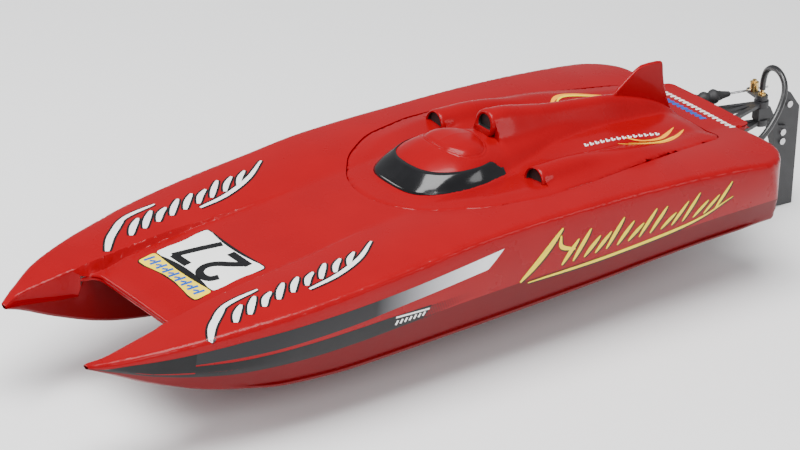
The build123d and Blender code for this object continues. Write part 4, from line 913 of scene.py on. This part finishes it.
# Racing stripes along each side.
fade = material("stripe_fade", (0.02, 0.02, 0.02), 0.3, coat=0.1, specular=0.15, bump=0.04)
nodes, links = fade.node_tree.nodes, fade.node_tree.links
split = nodes.new("ShaderNodeSeparateXYZ")
links.new(nodes["Texture Coordinate"].outputs["Object"], split.inputs["Vector"])
span = nodes.new("ShaderNodeMapRange")
span.inputs["From Min"].default_value = place(0, 205, 0)[1]
span.inputs["From Max"].default_value = place(0, 300, 0)[1]
links.new(split.outputs["Y"], span.inputs["Value"])
grade = nodes.new("ShaderNodeValToRGB")
grade.color_ramp.elements[0].color = (0.018, 0.018, 0.02, 1)
grade.color_ramp.elements[1].color = (0.80, 0.80, 0.82, 1)
grade.color_ramp.elements.new(0.25).color = (0.16, 0.16, 0.17, 1)
grade.color_ramp.elements.new(0.6).color = (0.48, 0.48, 0.5, 1)
links.new(span.outputs["Result"], grade.inputs["Fac"])
links.new(grade.outputs["Color"], nodes["Principled BSDF"].inputs["Base Color"])

upper_top = curve([
    (6, 36.3), (27, 40.4), (63, 44.1), (102, 47.9), (145, 50.9), (191, 53.6), (239, 57.2), (280, 61.5),
    (317, 66),
])
upper_low = curve([(66, 35.4), (103, 35.4), (146, 36.8), (192, 39.9), (225, 43.6), (265, 47.6), (304, 52)])
lower_top = curve([(66, 34.3), (103, 32.9), (147, 33.7), (193, 35.3), (222, 36.4), (262, 36.6)])
lower_low = curve([
    (6, 35.7), (28, 31.3), (65, 25), (105, 21.2), (150, 20.4), (196, 22.2), (222, 24.2), (262, 27.2),
])


def band(print_on, start, end_low, end_high, low, high, mat, lift, across=7, count=110):
    share = np.linspace(0, 1, across)[:, None]
    t = np.linspace(0, 1, count)[None]
    d = start + (end_low + (end_high - end_low) * share - start) * t
    print_on.grid(d, low(d) + (high(d) - low(d)) * share, mat, lift)


for sign, name in ((1, "port"), (-1, "starboard")):
    stripes = Print(f"side_stripes_{name}", on_side(sign), "hull", [STRIPE, fade, WHITE])
    band(stripes, 6, 66, 66, lower_low, upper_top, 0, 0.10, across=9, count=40)
    band(stripes, 66, 304, 317, upper_low, upper_top, 1, 0.10)
    band(stripes, 66, 250, 256, lower_low, lower_top, 0, 0.10)
    for column in range(30):
        d = 250 + column * 1.55
        size = 0.62 * (1 - column / 32)
        low, high = 25.2 + 0.16 * (d - 250), 36.4 + 0.02 * (d - 250)
        for row in range(8):
            z = low + (high - low) * (row + 0.5 * (column % 2)) / 8
            spots = [(d + size * math.cos(a), z + size * math.sin(a)) for a in around(6)]
            start = len(stripes.points)
            stripes.points += [tuple(p) for p in stripes.surface(*np.array(spots).T, 0.10)]
            stripes.faces.append(tuple(range(start, start + 6)))
            stripes.indices.append(0)
    # small generic badge: a bar over a row of slanted ticks
    stripes.stroke([(224, 35.0), (254, 33.6)], 1.6, 2, 0.2)
    for tick in range(7):
        foot, head = (225 + tick * 4.0, 28.2 + tick * 0.1), (226.5 + tick * 4.0, 31.8 + tick * 0.05)
        stripes.stroke([foot, head], 1.9, 2, 0.2)
    stripes.make()

    # yellow brush slashes along the side, over one long stroke
    slashes = Print(f"side_slashes_{name}", on_side(sign), "hull", [BLACK, YELLOW])
    strokes = [([(338, 30.5), (352, 45), (371, 68)], 5.4)]
    for count in range(15):
        d, low = 376 + count * 10.4, 34.5 + count * 0.55
        tall = 20 + 6 * math.sin(count * 1.9) - 0.25 * count
        strokes.append(([(d, low), (d + 5, low + 0.45 * tall), (d + 12, low + tall)], 3.9 - 0.08 * count))
    strokes.append(([(346, 27.5), (420, 28.5), (500, 36), (538, 50)], 2.8))
    strokes.append(([(370, 62), (372, 52), (386, 46)], 3.0))
    for path, width in strokes:
        slashes.stroke(np.array(path) + (0.9, -0.9), width + 1.8, 0, 0.08, taper=(0.35, 0.3))
        slashes.stroke(path, width + 0.5, 1, 0.18, taper=(0.3, 0.25))
    slashes.make()

# white slashes on both sponson decks, between two long strokes
for name, origin, along, upright in (
    ("port", (93, 76), (-13, 146), (-19, 5)),
    ("starboard", (-58, 88), (-14, 142), (-21, 8)),
):
    marks = Print(f"sponson_slashes_{name}", on_deck, "hull", [BLACK, WHITE])
    strokes = [
        ([(0.0, -0.1), (0.05, 0.55), (0.15, 1.15)], 5.0),
        ([(0.04, 0.62), (0.16, 1.22), (0.36, 1.2)], 3.4),
        ([(0.60, -0.2), (0.78, -0.16), (0.94, 0.2), (1.06, 0.9)], 3.2),
    ]
    for count in range(9):
        u, tall = 0.16 + 0.088 * count, 0.8 + 0.12 * math.sin(2.3 * count)
        strokes.append(([(u, 0.05), (u + 0.03, 0.45), (u + 0.075, tall)], 4.4 - 0.12 * count))
    for units, width in strokes:
        path = framed(origin, along, upright, units)
        marks.stroke(path, width + 4.2, 0, 0.10, taper=(0.7, 0.6))
    for units, width in strokes:
        marks.stroke(framed(origin, along, upright, units), width + 0.8, 1, 0.22, taper=(0.5, 0.35))
    marks.make()


def rounded_box(x0, x1, d0, d1, radius):
    ring = []
    x0, x1, d0, d1 = x0 + radius, x1 - radius, d0 + radius, d1 - radius
    corners = ((x1, d1), (x0, d1), (x0, d0), (x1, d0))
    for quarter, (cx, cy) in enumerate(corners):
        for degrees in (0, 30, 60, 90):
            a = math.radians(90 * quarter + degrees)
            ring.append((cx + radius * math.cos(a), cy + radius * math.sin(a)))
    return ring


def tick_row(print_on, xs, mat, lift, *marks):
    """Short ticks across the boat; a mark is two ends (x, d) and a width, with x from each place in xs."""
    for x in xs:
        for (x0, d0), (x1, d1), width in marks:
            print_on.stroke([(x + x0, d0), (x + x1, d1)], width, mat, lift)


plate = Print("number_plate", on_deck, "hull", [BLACK, WHITE, YELLOW, BLUE])
plate.patch(rounded_box(-38.5, 38.5, 100, 162, 4), 0, 0.10)
plate.patch(rounded_box(-37.3, 37.3, 116.5, 160.8, 2.5), 1, 0.20)
plate.patch(rounded_box(-37.3, 37.3, 101.2, 115.3, 2.5), 2, 0.20)
# race number: each digit as strokes in a box of its own
TWO = [
    (0.0, 0.78), (0.15, 0.96), (0.5, 1.02), (0.85, 0.95), (1.0, 0.75), (0.85, 0.52), (0.4, 0.28), (0.0, 0.02),
]
for left, lines in (
    (25, (TWO, [(-0.1, 0.04), (1.12, 0.04)])),
    (-5, ([(0.0, 0.97), (1.0, 0.97)], [(1.0, 1.0), (0.35, -0.06)])),
):
    for line in lines:
        plate.stroke(framed((left, 155), (-19, 0), (0, -33), line), 6.4, 0, 0.30)
tick_row(plate, [32 - 8 * i for i in range(9)], 3, 0.30, ((0, 112.5), (-2.2, 104.5), 2.6))
tick_row(plate, [32 - 8 * i for i in range(8)], 3, 0.30, ((-2.6, 109.5), (-6.4, 107.0), 2.0))
plate.make()

for sign, name in ((1, "port"), (-1, "starboard")):
    flames = Print(f"hatch_flames_{name}", on_hatch, "hatch", [ORANGE, YELLOW, WHITE])
    for path, width, mat, lift in (
        (((41, 482), (52, 497), (53, 516), (46, 536), (38, 551)), 4.6, 0, 0.15),
        (((44, 490), (51.5, 502), (51.5, 517), (45, 535)), 2.4, 1, 0.25),
        (((34, 492), (44, 505), (45, 519), (40, 532), (33, 545)), 3.6, 0, 0.15),
    ):
        flames.stroke([(sign * x, d) for x, d in path], width, mat, lift, taper=(0.1, 0.05))
    for tick in range(14):
        d = 455 + tick * 5.2
        base = 36 + 0.02 * tick * tick if sign > 0 else -31 - 0.02 * tick * tick
        flames.stroke([(base, d), (base - 3.6, d + 1.4)], 1.5, 2, 0.2)
        flames.stroke([(base - 0.4, d + 1.6), (base - 2.0, d + 3.4)], 1.1, 2, 0.2)
    flames.make()

stern_marks = Print("stern_deck_marks", on_deck, "hull", [WHITE, BLUE])
tick_row(stern_marks, [46 - 5.0 * i for i in range(19)], 0, 0.15,
         ((0, 597), (-1.0, 592), 2.2), ((-1.8, 596.5), (-3.4, 594.4), 1.4))
tick_row(stern_marks, [22 - 5.4 * i for i in range(9)], 1, 0.15,
         ((0, 588), (-1.2, 582.5), 2.8), ((-1.8, 587), (-3.8, 584), 1.8))
stern_marks.make()

# ---------------------------------------------------------------- hoses
HOSE = material("hose_black", (0.014, 0.014, 0.015), 0.34, tint=0.25, tint_scale=150, bump=0.14,
                bump_scale=1300, coat=0.25)


def hose(name, route, diameter, node):
    data = bpy.data.curves.new(name, "CURVE")
    data.dimensions, data.resolution_u = "3D", 24
    data.bevel_depth, data.bevel_resolution, data.use_fill_caps = diameter / 2, 6, True
    line = data.splines.new("NURBS")
    line.points.add(len(route) - 1)
    for point, where in zip(line.points, route):
        point.co = (*place(*where), 1)
    line.order_u = 3
    line.use_endpoint_u = True
    data.materials.append(HOSE)
    piece = add_object(name, data)
    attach(piece, "hull")
    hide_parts(node)


COOLING = [
    (0, 667, 66.3), (0, 667, 80), (9.8, 666, 90), (23.6, 663.5, 90), (33.4, 661, 80), (38, 650, 64),
    (42, 634, 51), (44, 619, 45), (44, 606, 45),
]
INLET = [
    (25.6, 431.9, 50.3), (39.6, 431.9, 50.3), (52, 446, 49), (56, 474, 48), (57, 508, 47.5),
    (55, 542, 46), (44, 570, 45), (44, 591.8, 45),
]
hose("cooling_hose_outer", COOLING, 0.005, "cooling_hose")
hose("cooling_hose_inner", INLET, 0.004, "inlet_hose")

# ---------------------------------------------------------------- pushrod boot
RUDDER_D, ARM_REACH = 667, 12
rod_yaw = math.radians(10.25)
rod_way = Vector((math.sin(rod_yaw), math.cos(rod_yaw), 0))
rod_pin = Vector((-ARM_REACH * rod_way.y, RUDDER_D + ARM_REACH * rod_way.x, 61.5))
rod_side = Vector((rod_way.y, -rod_way.x, 0))
at_transom = (TRANSOM - rod_pin.y) / rod_way.y
profile = [(-3, 2.3), (0.2, 2.4), (0.8, 4.2), (2.0, 4.4), (2.6, 3.4)]
RIB_PITCH, BOOT_SIDES = 9.0, 32
for rib in range(4):
    low, high, first = 3.0 + 0.35 * rib, 3.9 + 0.72 * rib, 1.0 + rib * RIB_PITCH
    for t in np.linspace(0.12, 1.0, 10):
        profile.append((first + RIB_PITCH * t, low + (high - low) * math.sin(math.pi * t) ** 1.4))
profile += [(38.5, 3.9), (40, 3.3), (43, 2.8), (46, 2.3), (47.2, 1.9), (47.2, 1.3), (44, 1.25)]
boot_points = []
for travel, radius in profile:
    centre = rod_pin + rod_way * (at_transom + travel)
    for a in around(BOOT_SIDES):
        round_it = rod_side * (radius * math.cos(a)) + Vector((0, 0, radius * math.sin(a)))
        boot_points.append(tuple(centre + round_it))
boot = new_object("pushrod_bellows", boot_points, grid_faces(len(profile), BOOT_SIDES, closed=True),
                  [RUBBER])
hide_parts("pushrod_boot")

# ---------------------------------------------------------------- finishes of the carried-over CAD parts
for mat, names in (
    (SEAL, ("hatch_seal",)),
    (STEEL, ("hatch_magnets", "deck_magnets", "motor_screws", "motor_shaft", "drive_shaft", "strut_screws",
             "prop_nut", "horn_screw", "pushrod", "bracket_screws", "rudder_stock", "blade_screws")),
    (FOAM, ("float_foam",)),
    (WRAP, ("battery_pack",)),
    (STRAP, ("battery_strap",)),
    (ALLOY, ("motor_can", "motor_mount", "shaft_coupling")),
    (ANODISED, ("water_jacket", "esc_heatsink")),
    (BRASS, ("stuffing_tube", "drive_dog", "rod_connector", "pickup_nipple", "water_inlet", "water_outlet")),
    (PLASTIC, ("battery_tray", "motor_endbell", "prop_strut", "propeller", "esc_case", "antenna_tube",
               "power_switch_body", "servo_case", "servo_mount", "rudder_bracket", "steering_arm",
               "rudder_holder", "rudder_blade", "drain_plug")),
    (GREY, ("receiver_case", "power_switch_slider", "servo_horn")),
):
    paint(names, mat)
for name in ("rudder_bracket", "rudder_holder", "rudder_blade", "steering_arm", "prop_strut"):
    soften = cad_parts[name].modifiers.new("edges", "BEVEL")
    soften.width, soften.segments, soften.limit_method = 0.0004, 2, "ANGLE"

# ---------------------------------------------------------------- stage
MIDDLE = Vector((0.0, -0.03, 0.08))


def light(name, where, width, height, power):
    """A soft rectangular lamp that faces the boat."""
    data = bpy.data.lights.new(name, "AREA")
    data.shape, data.size, data.size_y, data.energy = "RECTANGLE", width, height, power
    lamp = add_object(name, data)
    facing = (Vector(where) - MIDDLE).to_track_quat("Z", "Y").to_matrix().to_4x4()
    lamp.matrix_world = Matrix.Translation(where) @ facing


light("overhead", (0.25, -0.35, 1.8), 1.3, 1.0, 60)
light("key", (1.5, -1.1, 1.2), 0.9, 0.7, 13)
light("front_left", (-1.5, -1.2, 1.1), 0.9, 0.6, 14)
light("stern", (1.7, 1.3, 1.0), 0.8, 0.6, 8)
world = bpy.data.worlds.new("studio")
world.use_nodes = True
world.node_tree.nodes["Background"].inputs["Color"].default_value = (0.95, 0.97, 1.0, 1)
world.node_tree.nodes["Background"].inputs["Strength"].default_value = 0.42
bpy.context.scene.world = world

floor_material = bpy.data.materials.new("pale_floor")
floor_material.use_nodes = True
floor_shader = floor_material.node_tree.nodes["Principled BSDF"]
floor_shader.inputs["Base Color"].default_value = (0.95, 0.95, 0.95, 1)
floor_shader.inputs["Roughness"].default_value = 0.75
floor_mesh = bpy.data.meshes.new("floor")
reach = 12.0
corners = [(-reach, -reach, 0), (reach, -reach, 0), (reach, reach, 0), (-reach, reach, 0)]
floor_mesh.from_pydata(corners, [], [(0, 1, 2, 3)])
floor_mesh.materials.append(floor_material)
floor = add_object("floor", floor_mesh)
